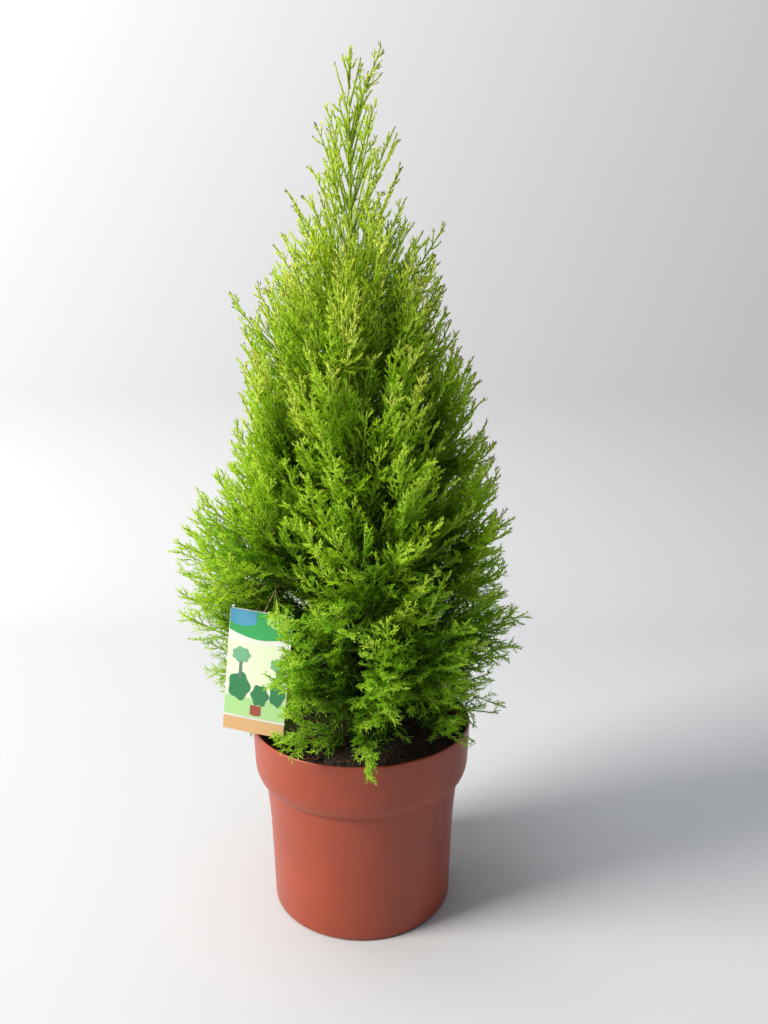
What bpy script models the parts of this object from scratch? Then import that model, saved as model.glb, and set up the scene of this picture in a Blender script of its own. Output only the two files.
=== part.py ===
"""Lemon cypress in a plastic nursery pot: metres, +Z up, origin under the pot's middle.

The plant is laid out in growth coordinates. A height z0 on the trunk names one curved sheet of
boughs, an azimuth names a direction round the trunk, and a share c runs from the trunk (0) to
the crown's outline (1). Every foliage mass owns one block of these coordinates.
"""
import math

import bmesh
import bpy
import numpy as np

GAP = 0.0003              # clearance between pieces that touch

# Pot and soil
POT_HEIGHT = 0.181
RIM_RADIUS = 0.105
COLLAR_RADIUS = 0.103     # foot of the rim's collar
COLLAR_BOTTOM = 0.135
SHOULDER_RADIUS = 0.0945  # where the collar has drawn in to the body
SHOULDER_HEIGHT = 0.113
BASE_RADIUS = 0.083
POT_WALL = 0.0018
POT_SEGMENTS = 32
SOIL_LEVEL = 0.165
SOIL_MOUND = 0.030        # radius of the flat round the trunk
SOIL_DIP = 0.005          # how far the soil drops beyond it

# Trunk
TRUNK_TOP = 0.700         # the leader mass goes on from here
TRUNK_FOOT = 0.0082       # radius above the flare
TRUNK_TIP = 0.0012
TRUNK_TAPER = 1.25        # power of the taper
FLARE = 0.0045            # extra radius at the soil
FLARE_HEIGHT = 0.012
LEAN = -0.0076            # sideways shift of the upper trunk
LEAN_START = 0.165
LEAN_END = 0.470
TRUNK_SIDES = 8
TRUNK_RINGS = (0.0, 0.006, 0.014, 0.030)   # heights of the flare's rings above the soil
TRUNK_STEPS = 8           # rings above them
TRUNK_STRAIGHT = 0.23     # height where those begin

# Crown: radius of the outline from the trunk on the -X and +X sides, at each height
CROWN_TOP = 0.785
OUTLINE_HEIGHTS = (0.145, 0.165, 0.175, 0.190, 0.220, 0.250, 0.280, 0.330, 0.370, 0.400, 0.430,
                   0.460, 0.507, 0.540, 0.580, 0.600, 0.620, 0.640, 0.660, 0.680, 0.710, 0.730,
                   0.757, 0.775, CROWN_TOP)
OUTLINE_LEFT = (0.112, 0.118, 0.122, 0.136, 0.141, 0.148, 0.161, 0.166, 0.163, 0.136, 0.116,
                0.105, 0.104, 0.096, 0.080, 0.073, 0.071, 0.054, 0.042, 0.038, 0.032, 0.027,
                0.013, 0.005, 0.002)
OUTLINE_RIGHT = (0.112, 0.118, 0.124, 0.133, 0.130, 0.146, 0.152, 0.143, 0.148, 0.145, 0.134,
                 0.124, 0.116, 0.090, 0.083, 0.081, 0.076, 0.056, 0.047, 0.044, 0.041, 0.030,
                 0.018, 0.006, 0.002)

# How steeply the boughs rise at each height on the trunk, and how far they droop outwards
RISE_HEIGHTS = (0.165, 0.190, 0.215, 0.255, 0.300, 0.360, 0.420, 0.500, 0.580, 0.650, 0.785)
RISE_DEGREES = (-8.0, 4.0, 12.0, 23.0, 34.0, 45.0, 52.0, 58.0, 63.0, 68.0, 80.0)
DROOP = 1.5               # 1/m, at the soil
DROOP_END = 0.415         # boughs from here up are straight

# Tiers from the soil up: name, lowest and highest origin, share of that span where the stems
# start, masses, first azimuth, sprays a mass, length of a spray's teeth, stations along it,
# whether boughs carry the masses, and how far the middle of a mass swells round its stem
TIERS = (
    ("skirt", 0.165, 0.215, 0.56, 5, -90.0, 6, 0.020, 6, True, 0.009),
    ("low", 0.215, 0.255, 0.50, 5, -54.0, 6, 0.022, 6, True, 0.010),
    ("broad", 0.255, 0.330, 0.50, 5, 0.0, 7, 0.024, 6, True, 0.012),
    ("mid", 0.330, 0.410, 0.45, 4, 20.0, 7, 0.023, 6, True, 0.012),
    ("high", 0.410, 0.490, 0.45, 4, 80.0, 7, 0.020, 6, False, 0.011),
    ("upper", 0.490, 0.580, 0.40, 3, 50.0, 6, 0.016, 6, False, 0.005),
    ("top", 0.580, 0.700, 0.35, 3, 0.0, 7, 0.011, 5, False, 0.002),
    ("leader", 0.700, 0.785, 0.0, 1, 0.0, 9, 0.007, 5, False, 0.0),
)
SPRAY_SPREAD = 0.0048     # half-width of a spray's blade beyond its twig
SPRAY_CLEARANCE = 0.0090  # distance between neighbouring sprays beyond their roots
BOUGH_REACH = 0.22        # share of the reach where a bough ends and its mass begins
STEM_RADIUS = 0.0021      # where a mass begins at its bough
STEM_SHARE = 0.42         # radius of a limb's foot, as a share of the trunk's there
STEM_END = 0.985          # share of the reach where a stem ends
TWIG_RADIUS = 0.0014
LEADER_TWIG = 0.0009
LEADER_STEM = 0.0011
LEADER_BEND = 0.0016      # sideways drift of the leader's tip
SIDE_MARGIN = 0.0022      # a mass keeps this far inside its block
TIER_MARGIN = 0.0030      # the same, as height on the trunk

# Shoots that stand out of the outline: world positions of their tips
LONG_SHOOTS = (
    (-0.059, -0.010, 0.662),
    (0.075, 0.000, 0.638),
    (-0.113, -0.008, 0.579),
    (-0.171, -0.015, 0.350),
    (0.155, -0.020, 0.288),
    (0.136, -0.030, 0.185),
    (0.003, -0.118, 0.158),
)
TWIN_TIP = (0.019, 0.000, 0.781)

# Plant label: a blank card that hangs by a strap from a stem
CARD_WIDTH = 0.058
CARD_HEIGHT = 0.115
CARD_THICKNESS = 0.0010
CARD_TOP = (-0.0852, -0.0600, 0.3048)   # middle of its top edge
CARD_TILT = 6.0           # degrees in its own plane, its right side lower
CARD_YAW = -11.5          # degrees about the vertical, its right side nearer
CARD_CORNER = 0.006
STRAP_RADIUS = 0.0009
LOOP_RADIUS = 0.0042
LOOP_REACH = 0.48         # share of the reach at which the loop holds its stem
LABEL_HOLDER = "broad_4"  # the mass whose stem carries the label
CARD_MARGIN = 0.004

# Where sprays end in their block: steps of two irrational turns spread them evenly
TURN_ACROSS = 0.7549
TURN_LEVEL = 0.5698
WIDTH_USED = 0.92         # share of the wedge that ends take
LEVELS_USED = (0.06, 0.94)  # share of the tier's height that ends take
SPRAY_SHARES = (0.97, 0.60, 0.97, 0.85)  # how far out they end, in turn
SPRAY_TRIES = 600
SPRAY_RUN = (0.36, 0.56)  # share of the reach that a spray runs along
SPRAY_ROLL = (0.3, 1.1)   # radians that its blade is turned
FULL_LENGTH = 0.06        # a shorter spray is drawn smaller

POT_CLEARANCE = 0.0025
SOIL_CLEARANCE = 0.004
TRUNK_CLEARANCE = 0.002
STRAP_CLEARANCE = 0.004
WALL_BAND = 0.006         # width of the ring over the pot's wall that is kept clear
LOWEST_TIP = 0.146

FAN = 2.2                 # power by which a spray turns away from its stem
FORWARD = 1.15            # power by which it then runs outwards
OVERHANG = 1.03           # how far past its tip a hanging spray first reaches out
RIM_PASS = 0.026          # height of its guide point above the rim
FLAT_ANGLE = 0.01         # radians between faces that are rejoined after a union
SEED = 11


def trunk_x(z):
    """Sideways place of the trunk: a smooth step from 0 to LEAN."""
    u = np.clip((np.asarray(z, float) - LEAN_START) / (LEAN_END - LEAN_START), 0.0, 1.0)
    return LEAN * u * u * (3.0 - 2.0 * u)


def trunk_radius(z):
    """Taper to the tip by a power law, with a flare that dies out above the soil."""
    z = np.asarray(z, float)
    u = np.clip((TRUNK_TOP - z) / (TRUNK_TOP - SOIL_LEVEL), 0.0, 1.0)
    flare = FLARE * np.exp(-(z - SOIL_LEVEL) / FLARE_HEIGHT)
    return TRUNK_TIP + (TRUNK_FOOT - TRUNK_TIP) * u ** TRUNK_TAPER + flare


def outline_radius(z, azimuth):
    """Crown radius at a height, blended round from the left side's to the right side's."""
    left = np.interp(z, OUTLINE_HEIGHTS, OUTLINE_LEFT)
    right = np.interp(z, OUTLINE_HEIGHTS, OUTLINE_RIGHT)
    share = 0.5 + 0.5 * np.cos(azimuth)
    return left + (right - left) * share


def bough_height(radius, z0):
    """Height of the bough sheet from z0, at a distance from the trunk."""
    rise = np.tan(np.radians(np.interp(z0, RISE_HEIGHTS, RISE_DEGREES)))
    droop = DROOP * np.clip((DROOP_END - z0) / (DROOP_END - SOIL_LEVEL), 0.0, 1.0)
    return z0 + rise * radius - droop * radius ** 2


def reach(z0, azimuth):
    """Distance at which the bough sheet from z0 leaves the crown's outline."""
    steps = np.linspace(0.002, 0.185, 90)
    z0 = np.asarray(z0, float)[..., None]
    azimuth = np.asarray(azimuth, float)[..., None]
    inside = steps < outline_radius(bough_height(steps, z0), azimuth)
    count = np.cumprod(inside, axis=-1).sum(axis=-1)
    return 0.002 + count * (steps[1] - steps[0])


def grown(z0, azimuth, share):
    """World points of growth coordinates, as an array of rows."""
    radius = share * reach(z0, azimuth)
    z = bough_height(radius, z0)
    return np.stack((trunk_x(z) + radius * np.cos(azimuth), radius * np.sin(azimuth), z), axis=-1)


def origin_of(points):
    """Growth coordinates (z0, azimuth, radius) of world points."""
    dx = points[..., 0] - trunk_x(points[..., 2])
    dy = points[..., 1]
    radius = np.hypot(dx, dy)
    ladder = np.linspace(0.08, CROWN_TOP, 240)
    heights = bough_height(radius[..., None], ladder)
    above = (heights < points[..., 2][..., None]).sum(axis=-1)
    above = np.clip(above, 1, len(ladder) - 1)
    low = np.take_along_axis(heights, above[..., None] - 1, axis=-1)[..., 0]
    high = np.take_along_axis(heights, above[..., None], axis=-1)[..., 0]
    share = (points[..., 2] - low) / np.maximum(high - low, 1e-9)
    z0 = ladder[above - 1] + share * (ladder[1] - ladder[0])
    return z0, np.arctan2(dy, dx), radius


class Block:
    """The block of growth coordinates that one mass keeps to."""

    def __init__(self, tier, index):
        (self.tier, self.low, self.high, stem, self.count, first, self.sprays, self.tooth,
         self.stations, self.has_bough, self.swell) = tier
        self.name = self.tier if self.count == 1 else f"{self.tier}_{index + 1}"
        self.half = math.pi / self.count
        self.azimuth = math.radians(first) + 2.0 * self.half * index
        self.middle = self.low + stem * (self.high - self.low)

    def point(self, across, height, share):
        """World point: across is -1..1 over the wedge, height is an origin on the trunk."""
        azimuth = self.azimuth + np.asarray(across) * self.half
        return grown(np.asarray(height, float), azimuth, np.asarray(share, float))

    def holds(self, points):
        """Which points lie inside the block by its margins."""
        z0, azimuth, radius = origin_of(points)
        ok = z0 < self.high - TIER_MARGIN if self.tier != "leader" else points[..., 2] < CROWN_TOP
        if self.tier != "skirt":
            ok = ok & (z0 > self.low + TIER_MARGIN)
        if self.count > 1:
            turn = np.abs((azimuth - self.azimuth + math.pi) % (2.0 * math.pi) - math.pi)
            ok = ok & (radius * np.sin(np.clip(self.half - turn, -1.5, 1.5)) > SIDE_MARGIN)
        return ok


def blocks():
    """Every block of the crown, tier by tier."""
    return [Block(tier, index) for tier in TIERS for index in range(tier[4])]


def clear_of_pot(points):
    """Which points keep clear of the pot's wall and the soil."""
    radius = np.hypot(points[..., 0], points[..., 1])
    z = points[..., 2]
    over_wall = (radius > RIM_RADIUS - WALL_BAND) & (radius < RIM_RADIUS + POT_CLEARANCE)
    over_soil = radius <= RIM_RADIUS - WALL_BAND
    hit = over_wall & (z < POT_HEIGHT + POT_CLEARANCE)
    hit |= over_soil & (z < SOIL_LEVEL + SOIL_CLEARANCE)
    return ~hit & (z > LOWEST_TIP)


def clear_of_trunk(points):
    """Which points keep clear of the trunk."""
    away = np.hypot(points[..., 0] - trunk_x(points[..., 2]), points[..., 1])
    clear = away > trunk_radius(points[..., 2]) + TRUNK_CLEARANCE
    return clear | (points[..., 2] > TRUNK_TOP)


def card_axes():
    """Directions across the card, down it and out of its back."""
    tilt = math.radians(CARD_TILT)
    yaw = math.radians(CARD_YAW)
    level = np.array((math.cos(yaw), math.sin(yaw), 0.0))
    drop = np.array((0.0, 0.0, -1.0))
    across = math.cos(tilt) * level + math.sin(tilt) * drop
    down = math.cos(tilt) * drop - math.sin(tilt) * level
    return across, down, np.cross(across, down)


def clear_of_label(points, strap, loop):
    """Which points keep clear of the card, its strap and, unless it is None, its loop."""
    across, down, back = card_axes()
    offset = points - np.array(CARD_TOP)
    u = offset @ across
    v = offset @ down
    on_card = (np.abs(u) < CARD_WIDTH / 2 + CARD_MARGIN) & (v > -CARD_MARGIN)
    on_card &= (v < CARD_HEIGHT + CARD_MARGIN) & (np.abs(offset @ back) < CARD_MARGIN)
    start, end = strap
    along = np.clip((points - start) @ (end - start) / ((end - start) @ (end - start)), 0, 1)
    near = np.linalg.norm(points - start - along[..., None] * (end - start), axis=-1)
    hit = on_card | (near < STRAP_CLEARANCE)
    if loop is not None:
        hit = hit | (np.linalg.norm(points - loop, axis=-1) < LOOP_RADIUS + 0.003)
    return ~hit


def clear_everywhere(points, label):
    """Which points keep clear of the pot, the trunk and the label."""
    return clear_of_pot(points) & clear_of_trunk(points) & clear_of_label(points, *label)


def frames_along(path, roll):
    """Unit tangents, side directions and normals along a path, turned by a roll angle."""
    tangent = np.gradient(path, axis=0)
    tangent /= np.linalg.norm(tangent, axis=1)[:, None]
    outward = np.array((path[-1, 0], path[-1, 1], 0.0))
    reference = np.array((0.0, 0.0, 1.0)) - 0.3 * outward / np.linalg.norm(outward)
    side = np.cross(reference, tangent)
    side /= np.linalg.norm(side, axis=1)[:, None]
    normal = np.cross(tangent, side)
    turned = math.cos(roll) * side + math.sin(roll) * normal
    return tangent, turned, np.cross(tangent, turned)


def toothed_twig(path, root, spread, keel, tooth, first, roll, fits):
    """A three-sided twig along a path that widens to a thin blade with teeth on both edges.

    Stations carry three corners: a ridge and two edges. From station `first` on, the edges
    stand out by `spread` and the ridge by `keel`, and each space between two stations holds
    one tooth a side, which leans forward. Edges and teeth are drawn in until `fits` accepts
    them. The path's last point is the tip.
    """
    tangent, side, normal = frames_along(path, roll)
    last = len(path) - 1
    along = np.linspace(0.0, 1.0, last + 1)
    swell = np.interp(along, (0.0, 0.25, 0.5, 1.0), (0.0, 0.8, 1.0, 0.3))
    swell = np.where(np.arange(last + 1) >= first, swell, 0.0)
    half = root + swell * spread
    height = root * (1.0 - 0.4 * along) + swell * keel
    verts = []
    for k in range(last):
        verts.append(path[k] + normal[k] * height[k])
        for sign in (-1.0, 1.0):
            edge = sign * side[k]
            out = half[k]
            while out > root and not fits(path[k][None] + edge * out)[0]:
                out *= 0.6
            verts.append(path[k] + edge * max(out, root) - normal[k] * height[k] * 0.5)
    verts.append(path[last])
    faces = [(0, 2, 1)]
    for k in range(last):
        ridge, left, right = 3 * k, 3 * k + 1, 3 * k + 2
        if k == last - 1:
            tip = 3 * last
            faces += [(ridge, left, tip), (left, right, tip), (right, ridge, tip)]
            continue
        teeth = []
        for sign, edge in ((-1.0, left), (1.0, right)):
            if k < first:
                teeth.append(None)
                continue
            base = 0.5 * (verts[edge] + verts[edge + 3])
            lean = tangent[k] * 1.1 + side[k] * sign
            lean /= np.linalg.norm(lean)
            length = tooth * (1.0 - 0.4 * (k - first) / max(last - 1 - first, 1))
            while length > 0.0015 and not fits(base[None] + lean * length)[0]:
                length *= 0.6
            verts.append(base + lean * max(length, 0.0015))
            teeth.append(len(verts) - 1)
        faces += twig_wall(ridge, left, right, ridge + 3, left + 3, right + 3, teeth)
    return np.array(verts), faces


def twig_wall(ridge, left, right, ridge2, left2, right2, teeth):
    """Faces between two stations, with or without a tooth on each edge."""
    faces = []
    a, b = teeth
    if a is None:
        return [(ridge, left, left2), (ridge, left2, ridge2), (right, ridge, ridge2),
                (right, ridge2, right2), (left, right, right2), (left, right2, left2)]
    faces += [(ridge, left, a), (ridge, a, ridge2), (ridge2, a, left2)]
    faces += [(right, ridge, b), (ridge, ridge2, b), (ridge2, right2, b)]
    faces += [(left, left2, a), (right, b, right2)]
    faces += [(left, right, right2), (left, right2, left2)]
    return faces


def curve_to(block, start, end, count):
    """Points that leave the stem at `start` and fan out to `end`, in growth coordinates."""
    t = np.linspace(0.0, 1.0, count)
    fan = 1.0 - (1.0 - t) ** FAN
    across = start[0] + (end[0] - start[0]) * fan
    height = start[1] + (end[1] - start[1]) * fan
    share = start[2] + (end[2] - start[2]) * t ** FORWARD
    return block.point(across, height, share)


def hanging_path(start, tip, count):
    """A quadratic curve that passes over the pot's rim and then drops to its tip."""
    over = np.array((tip[0] * OVERHANG, tip[1] * OVERHANG, POT_HEIGHT + RIM_PASS))
    t = np.linspace(0.0, 1.0, count)[:, None]
    return (1.0 - t) ** 2 * start + 2.0 * t * (1.0 - t) * over + t ** 2 * tip


def stem_start(block):
    """Share of the reach where a block's stem begins."""
    return BOUGH_REACH if block.has_bough else 0.0


def mass_pieces(block, label, rng):
    """Meshes of one mass: its stem first, then its long shoots and its sprays."""
    pieces = []
    is_leader = block.tier == "leader"

    def fits(points):
        return block.holds(points) & clear_everywhere(points, label)

    if is_leader:
        z = np.linspace(TRUNK_TOP + GAP, CROWN_TOP, 8)
        drift = LEADER_BEND * (z - z[0]) / (z[-1] - z[0])
        stem = np.stack((trunk_x(z) + drift, 0.0 * z, z), axis=-1)
        pieces.append(toothed_twig(stem, LEADER_STEM, 0.0, 0.0, 0.9 * block.tooth, 2, 0.4, fits))
    else:
        shares = np.linspace(stem_start(block), STEM_END, 6)
        stem = block.point(0.0 * shares, block.middle + 0.0 * shares, shares)
        if block.has_bough:
            ahead = stem[1] - stem[0]
            stem[0] = stem[0] + ahead / np.linalg.norm(ahead) * GAP
        root = STEM_RADIUS if block.has_bough else STEM_SHARE * float(trunk_radius(block.middle))
        first = 3 if block.name == LABEL_HOLDER else 2
        for shrink in (1.0, 0.6, 0.3, 0.0):
            swell, tooth = block.swell * shrink, block.tooth * shrink
            made = toothed_twig(stem, root, swell, 0.8 * swell, tooth, first, 0.3, fits)
            points = edge_points(*made)
            if (clear_of_label(points, label[0], None) & clear_of_pot(points)).all():
                break
        pieces.append(made)
    taken = [pieces[0][0][-1][None]]
    shoots = list(long_ends(block))
    wanted = block.sprays + len(shoots)
    for end in shoots:
        pieces.append(spray(block, end, rng, fits, None))
        taken.append(free_points(block, pieces[-1][0]))
    step = 0
    while len(pieces) < wanted + 1 and step < SPRAY_TRIES:
        step += 1
        across = WIDTH_USED * (2.0 * ((step * TURN_ACROSS) % 1.0) - 1.0)
        level = np.interp((step * TURN_LEVEL) % 1.0, (0.0, 1.0), LEVELS_USED)
        height = block.low + level * (block.high - block.low)
        share = SPRAY_SHARES[step % len(SPRAY_SHARES)]
        piece = spray(block, (across, height, share), rng, fits, np.concatenate(taken))
        if piece is not None:
            pieces.append(piece)
            taken.append(free_points(block, piece[0]))
    return pieces


def edge_points(verts, faces):
    """Points spread along every edge of a mesh."""
    pairs = {tuple(sorted((face[k], face[k - 1]))) for face in faces for k in range(len(face))}
    ends = verts[np.array(sorted(pairs))]
    t = np.linspace(0.0, 1.0, 7)[:, None, None]
    return (ends[:, 0] * (1.0 - t) + ends[:, 1] * t).reshape(-1, 3)


def free_points(block, verts):
    """The corners of a spray that lie well away from its root."""
    away = np.linalg.norm(verts - verts[:3].mean(axis=0), axis=1)
    return verts[away > 0.3 * away.max()]


def long_ends(block):
    """Ends, in the block's coordinates, of the long shoots whose tips lie in the block."""
    for tip in LONG_SHOOTS + (TWIN_TIP,):
        z0, azimuth, radius = origin_of(np.array(tip))
        turn = (azimuth - block.azimuth + math.pi) % (2.0 * math.pi) - math.pi
        low = block.low if block.tier != "skirt" else 0.0
        if low < z0 < block.high and abs(turn) < block.half:
            yield turn / block.half, float(z0), float(radius / reach(z0, azimuth))


def spray(block, end, rng, fits, taken):
    """One toothed spray from the stem to an end in the block, or None where it doesn't fit."""
    far = end[2]
    if block.tier == "leader":
        start = (end[0], max(end[1], TRUNK_TOP + 0.004), 0.0)
    else:
        base = max(stem_start(block) + 0.06, 0.16, far - float(rng.uniform(*SPRAY_RUN)))
        start = (0.0, block.middle, min(base, 0.9 * far))
    path = curve_to(block, start, end, block.stations)
    if path[-1, 2] < POT_HEIGHT:
        path = hanging_path(block.point(*start), block.point(*end), block.stations)
    roll = float(rng.uniform(*SPRAY_ROLL) * rng.choice((-1.0, 1.0)))
    if taken is not None and not fits(path).all():
        return None
    length = float(np.linalg.norm(np.diff(path, axis=0), axis=1).sum())
    size = min(1.0, length / FULL_LENGTH)
    root = TWIG_RADIUS if block.tier != "leader" else LEADER_TWIG
    for shrink in (1.0, 0.7, 0.45):
        spread = SPRAY_SPREAD * size * shrink
        made = toothed_twig(path, root, spread, 0.0, block.tooth * size * shrink, 1, roll, fits)
        if fits(edge_points(*made)).all():
            break
    else:
        if taken is not None:
            return None
    if taken is not None:
        own = free_points(block, made[0])
        apart = np.linalg.norm(own[:, None] - taken[None], axis=2).min()
        if apart < SPRAY_CLEARANCE * size:
            return None
    return made


def tube(path, radii, sides):
    """A closed tube with flat ends: rings of corners square to a path."""
    path = np.asarray(path, float)
    tangent = np.gradient(path, axis=0)
    tangent /= np.linalg.norm(tangent, axis=1)[:, None]
    reference = np.array((1.0, 0.0, 0.1))
    if abs(tangent[0, 1]) < 0.8:
        reference = np.array((0.3, 1.0, 0.1))
    side = np.cross(reference, tangent)
    side /= np.linalg.norm(side, axis=1)[:, None]
    normal = np.cross(tangent, side)
    turn = 2.0 * math.pi * np.arange(sides) / sides
    ring = np.cos(turn)[None, :, None] * side[:, None]
    ring = ring + np.sin(turn)[None, :, None] * normal[:, None]
    verts = path[:, None] + ring * np.asarray(radii, float)[:, None, None]
    faces = [tuple(range(sides))[::-1], tuple((len(path) - 1) * sides + k for k in range(sides))]
    for row in range(len(path) - 1):
        for k in range(sides):
            a = row * sides + k
            b = row * sides + (k + 1) % sides
            faces.append((a, b, b + sides, a + sides))
    return verts.reshape(-1, 3), faces


def lathe(profile, segments):
    """A closed solid turned about Z from a closed profile of radius and height pairs."""
    turn = 2.0 * math.pi * np.arange(segments) / segments
    verts = []
    rows = []
    for radius, z in profile:
        if radius == 0.0:
            rows.append([len(verts)] * segments)
            verts.append((0.0, 0.0, z))
            continue
        rows.append(list(range(len(verts), len(verts) + segments)))
        verts += [(radius * math.cos(a), radius * math.sin(a), z) for a in turn]
    faces = []
    for row, above in zip(rows, rows[1:]):
        for k in range(segments):
            n = (k + 1) % segments
            corners = [row[k], row[n], above[n], above[k]]
            faces.append(tuple(dict.fromkeys(corners)))
    return np.array(verts), [face for face in faces if len(face) > 2]


def material(name, colour, roughness, metallic=0.0):
    """A Principled material from linear colour, roughness and metallic value."""
    made = bpy.data.materials.new(name)
    made.use_nodes = True
    shader = made.node_tree.nodes["Principled BSDF"]
    shader.inputs["Base Color"].default_value = (*colour, 1.0)
    shader.inputs["Roughness"].default_value = roughness
    shader.inputs["Metallic"].default_value = metallic
    made.diffuse_color = (*colour, 1.0)
    return made


def add_object(name, verts, faces, finish=None, collection=None):
    """A mesh object from corners and faces."""
    mesh = bpy.data.meshes.new(name)
    mesh.from_pydata([tuple(map(float, corner)) for corner in verts], [], faces)
    mesh.validate()
    made = bpy.data.objects.new(name, mesh)
    (collection or bpy.context.scene.collection).objects.link(made)
    if finish is not None:
        mesh.materials.append(finish)
    return made


def largest_shell(mesh, method):
    """Keep a mesh's largest connected shell, which drops scraps and sealed hollows."""
    work = bmesh.new()
    work.from_mesh(mesh)
    bmesh.ops.dissolve_limit(work, angle_limit=FLAT_ANGLE, verts=work.verts[:], edges=work.edges[:])
    bmesh.ops.triangulate(work, faces=work.faces[:], ngon_method=method)
    seen = set()
    shells = []
    for face in work.faces:
        if face in seen:
            continue
        shell = [face]
        seen.add(face)
        for current in shell:
            for edge in current.edges:
                for other in edge.link_faces:
                    if other not in seen:
                        seen.add(other)
                        shell.append(other)
        shells.append(shell)
    keep = set(max(shells, key=lambda shell: sum(f.calc_area() for f in shell)))
    bmesh.ops.delete(work, geom=[f for f in work.faces if f not in keep], context="FACES")
    closed = all(len(edge.link_faces) == 2 for edge in work.edges)
    work.to_mesh(mesh)
    work.free()
    return closed


def modified_mesh(body):
    """A new mesh of an object as its modifiers leave it."""
    depsgraph = bpy.context.evaluated_depsgraph_get()
    return bpy.data.meshes.new_from_object(body.evaluated_get(depsgraph))


def joined_mesh(body, folder, sleeve, solver):
    """The union of a body with a folder's pieces, less the sleeve; None unless it is closed."""
    body.modifiers.clear()
    if len(folder.objects):
        join = body.modifiers.new("join", "BOOLEAN")
        join.operation = "UNION"
        join.operand_type = "COLLECTION"
        join.collection = folder
        join.solver = solver
    if sleeve is not None:
        cut = body.modifiers.new("cut", "BOOLEAN")
        cut.operation = "DIFFERENCE"
        cut.object = sleeve
        cut.solver = solver
    for method in ("BEAUTY", "EAR_CLIP"):
        joined = modified_mesh(body)
        if len(joined.polygons) > 8 and largest_shell(joined, method):
            return joined
        bpy.data.meshes.remove(joined)
    return None


def fuse(name, pieces, finish, sleeve=None):
    """Join meshes into one solid by a Boolean union, and cut it clear of the trunk."""
    folder = bpy.data.collections.new(name + "_pieces")
    bpy.context.scene.collection.children.link(folder)
    for index, (verts, faces) in enumerate(pieces[1:]):
        add_object(f"{name}_piece_{index}", verts, faces, collection=folder)
    body = add_object(name, *pieces[0], finish=finish)
    joined = None
    while joined is None:
        for solver in ("EXACT", "MANIFOLD"):
            joined = joined or joined_mesh(body, folder, sleeve, solver)
        if joined is None:
            bpy.data.objects.remove(folder.objects[-1])
    body.modifiers.clear()
    body.data = joined
    for piece in list(folder.objects):
        bpy.data.objects.remove(piece)
    bpy.data.collections.remove(folder)
    body.data.materials.clear()
    body.data.materials.append(finish)


def smooth(made, degrees=35.0):
    """Smooth shading, with edges kept sharp beyond an angle."""
    made.data.shade_smooth()
    made.data.set_sharp_from_angle(angle=math.radians(degrees))


def pot_profile():
    """The pot's closed profile: up the outside, over the rim, down the inside."""
    outside = [(0.0, 0.0), (BASE_RADIUS - 0.002, 0.0), (BASE_RADIUS, 0.002)]
    outside += [(SHOULDER_RADIUS, SHOULDER_HEIGHT)]
    for step in (0.35, 0.75):
        angle = 0.5 * math.pi * step
        radius = SHOULDER_RADIUS + (COLLAR_RADIUS - SHOULDER_RADIUS) * math.sin(angle)
        height = COLLAR_BOTTOM - (COLLAR_BOTTOM - SHOULDER_HEIGHT) * math.cos(angle) * 0.9
        outside.append((radius, height))
    outside += [(COLLAR_RADIUS, COLLAR_BOTTOM), (RIM_RADIUS, POT_HEIGHT - 0.002)]
    outside += [(RIM_RADIUS - 0.0006, POT_HEIGHT)]
    inside = [(RIM_RADIUS - POT_WALL - 0.0004, POT_HEIGHT)]
    inside += [(COLLAR_RADIUS - POT_WALL, COLLAR_BOTTOM - 0.001)]
    inside += [(SHOULDER_RADIUS - POT_WALL, SHOULDER_HEIGHT - 0.001)]
    inside += [(BASE_RADIUS - POT_WALL, 0.003), (0.0, 0.003)]
    return outside, inside


def make_pot():
    """The moulded pot, turned from its profile."""
    outside, inside = pot_profile()
    terracotta = material("terracotta_plastic", (0.42, 0.115, 0.065), 0.38)
    smooth(add_object("pot", *lathe(outside + inside, POT_SEGMENTS), finish=terracotta))


def make_soil():
    """Potting soil, which fills the pot's inside to its level and rises round the trunk."""
    inside = pot_profile()[1]
    profile = [(0.0, inside[-1][1] + GAP), (inside[-2][0] - 2 * GAP, inside[-2][1] + GAP)]
    profile += [(inside[2][0] - 2 * GAP, inside[2][1]), (inside[1][0] - 2 * GAP, inside[1][1])]
    lip = inside[0][0] - (inside[0][0] - inside[1][0]) * 0.45
    profile += [(lip - 3 * GAP, SOIL_LEVEL - 0.003), (0.075, SOIL_LEVEL - SOIL_DIP)]
    profile += [(SOIL_MOUND, SOIL_LEVEL), (0.0, SOIL_LEVEL)]
    peat = material("peat_soil", (0.035, 0.018, 0.010), 0.95)
    add_object("soil", *lathe(profile, POT_SEGMENTS), finish=peat)


def trunk_path(extra):
    """Rings of the trunk from its flat foot to its tip, with some extra radius."""
    foot = SOIL_LEVEL + np.array(TRUNK_RINGS)
    foot[0] += GAP
    z = np.concatenate((foot, np.linspace(TRUNK_STRAIGHT, TRUNK_TOP, TRUNK_STEPS)))
    path = np.stack((trunk_x(z), 0.0 * z, z), axis=-1)
    return path, trunk_radius(z) + extra


def make_trunk(bark):
    """The whole trunk, as one tapering tube."""
    smooth(add_object("trunk", *tube(*trunk_path(0.0), TRUNK_SIDES), finish=bark))


def make_bough(block, bark, sleeve):
    """A tapering limb along the block's middle, its foot cut to the trunk's surface."""
    shares = np.array((0.0, 0.5 * BOUGH_REACH, BOUGH_REACH))
    path = block.point(0.0 * shares, block.middle + 0.0 * shares, shares)
    root = STEM_SHARE * float(trunk_radius(block.middle)) + GAP
    radii = np.linspace(root, STEM_RADIUS, len(shares))
    fuse("bough_" + block.name, [tube(path, radii, 5)], bark, sleeve)


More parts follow.
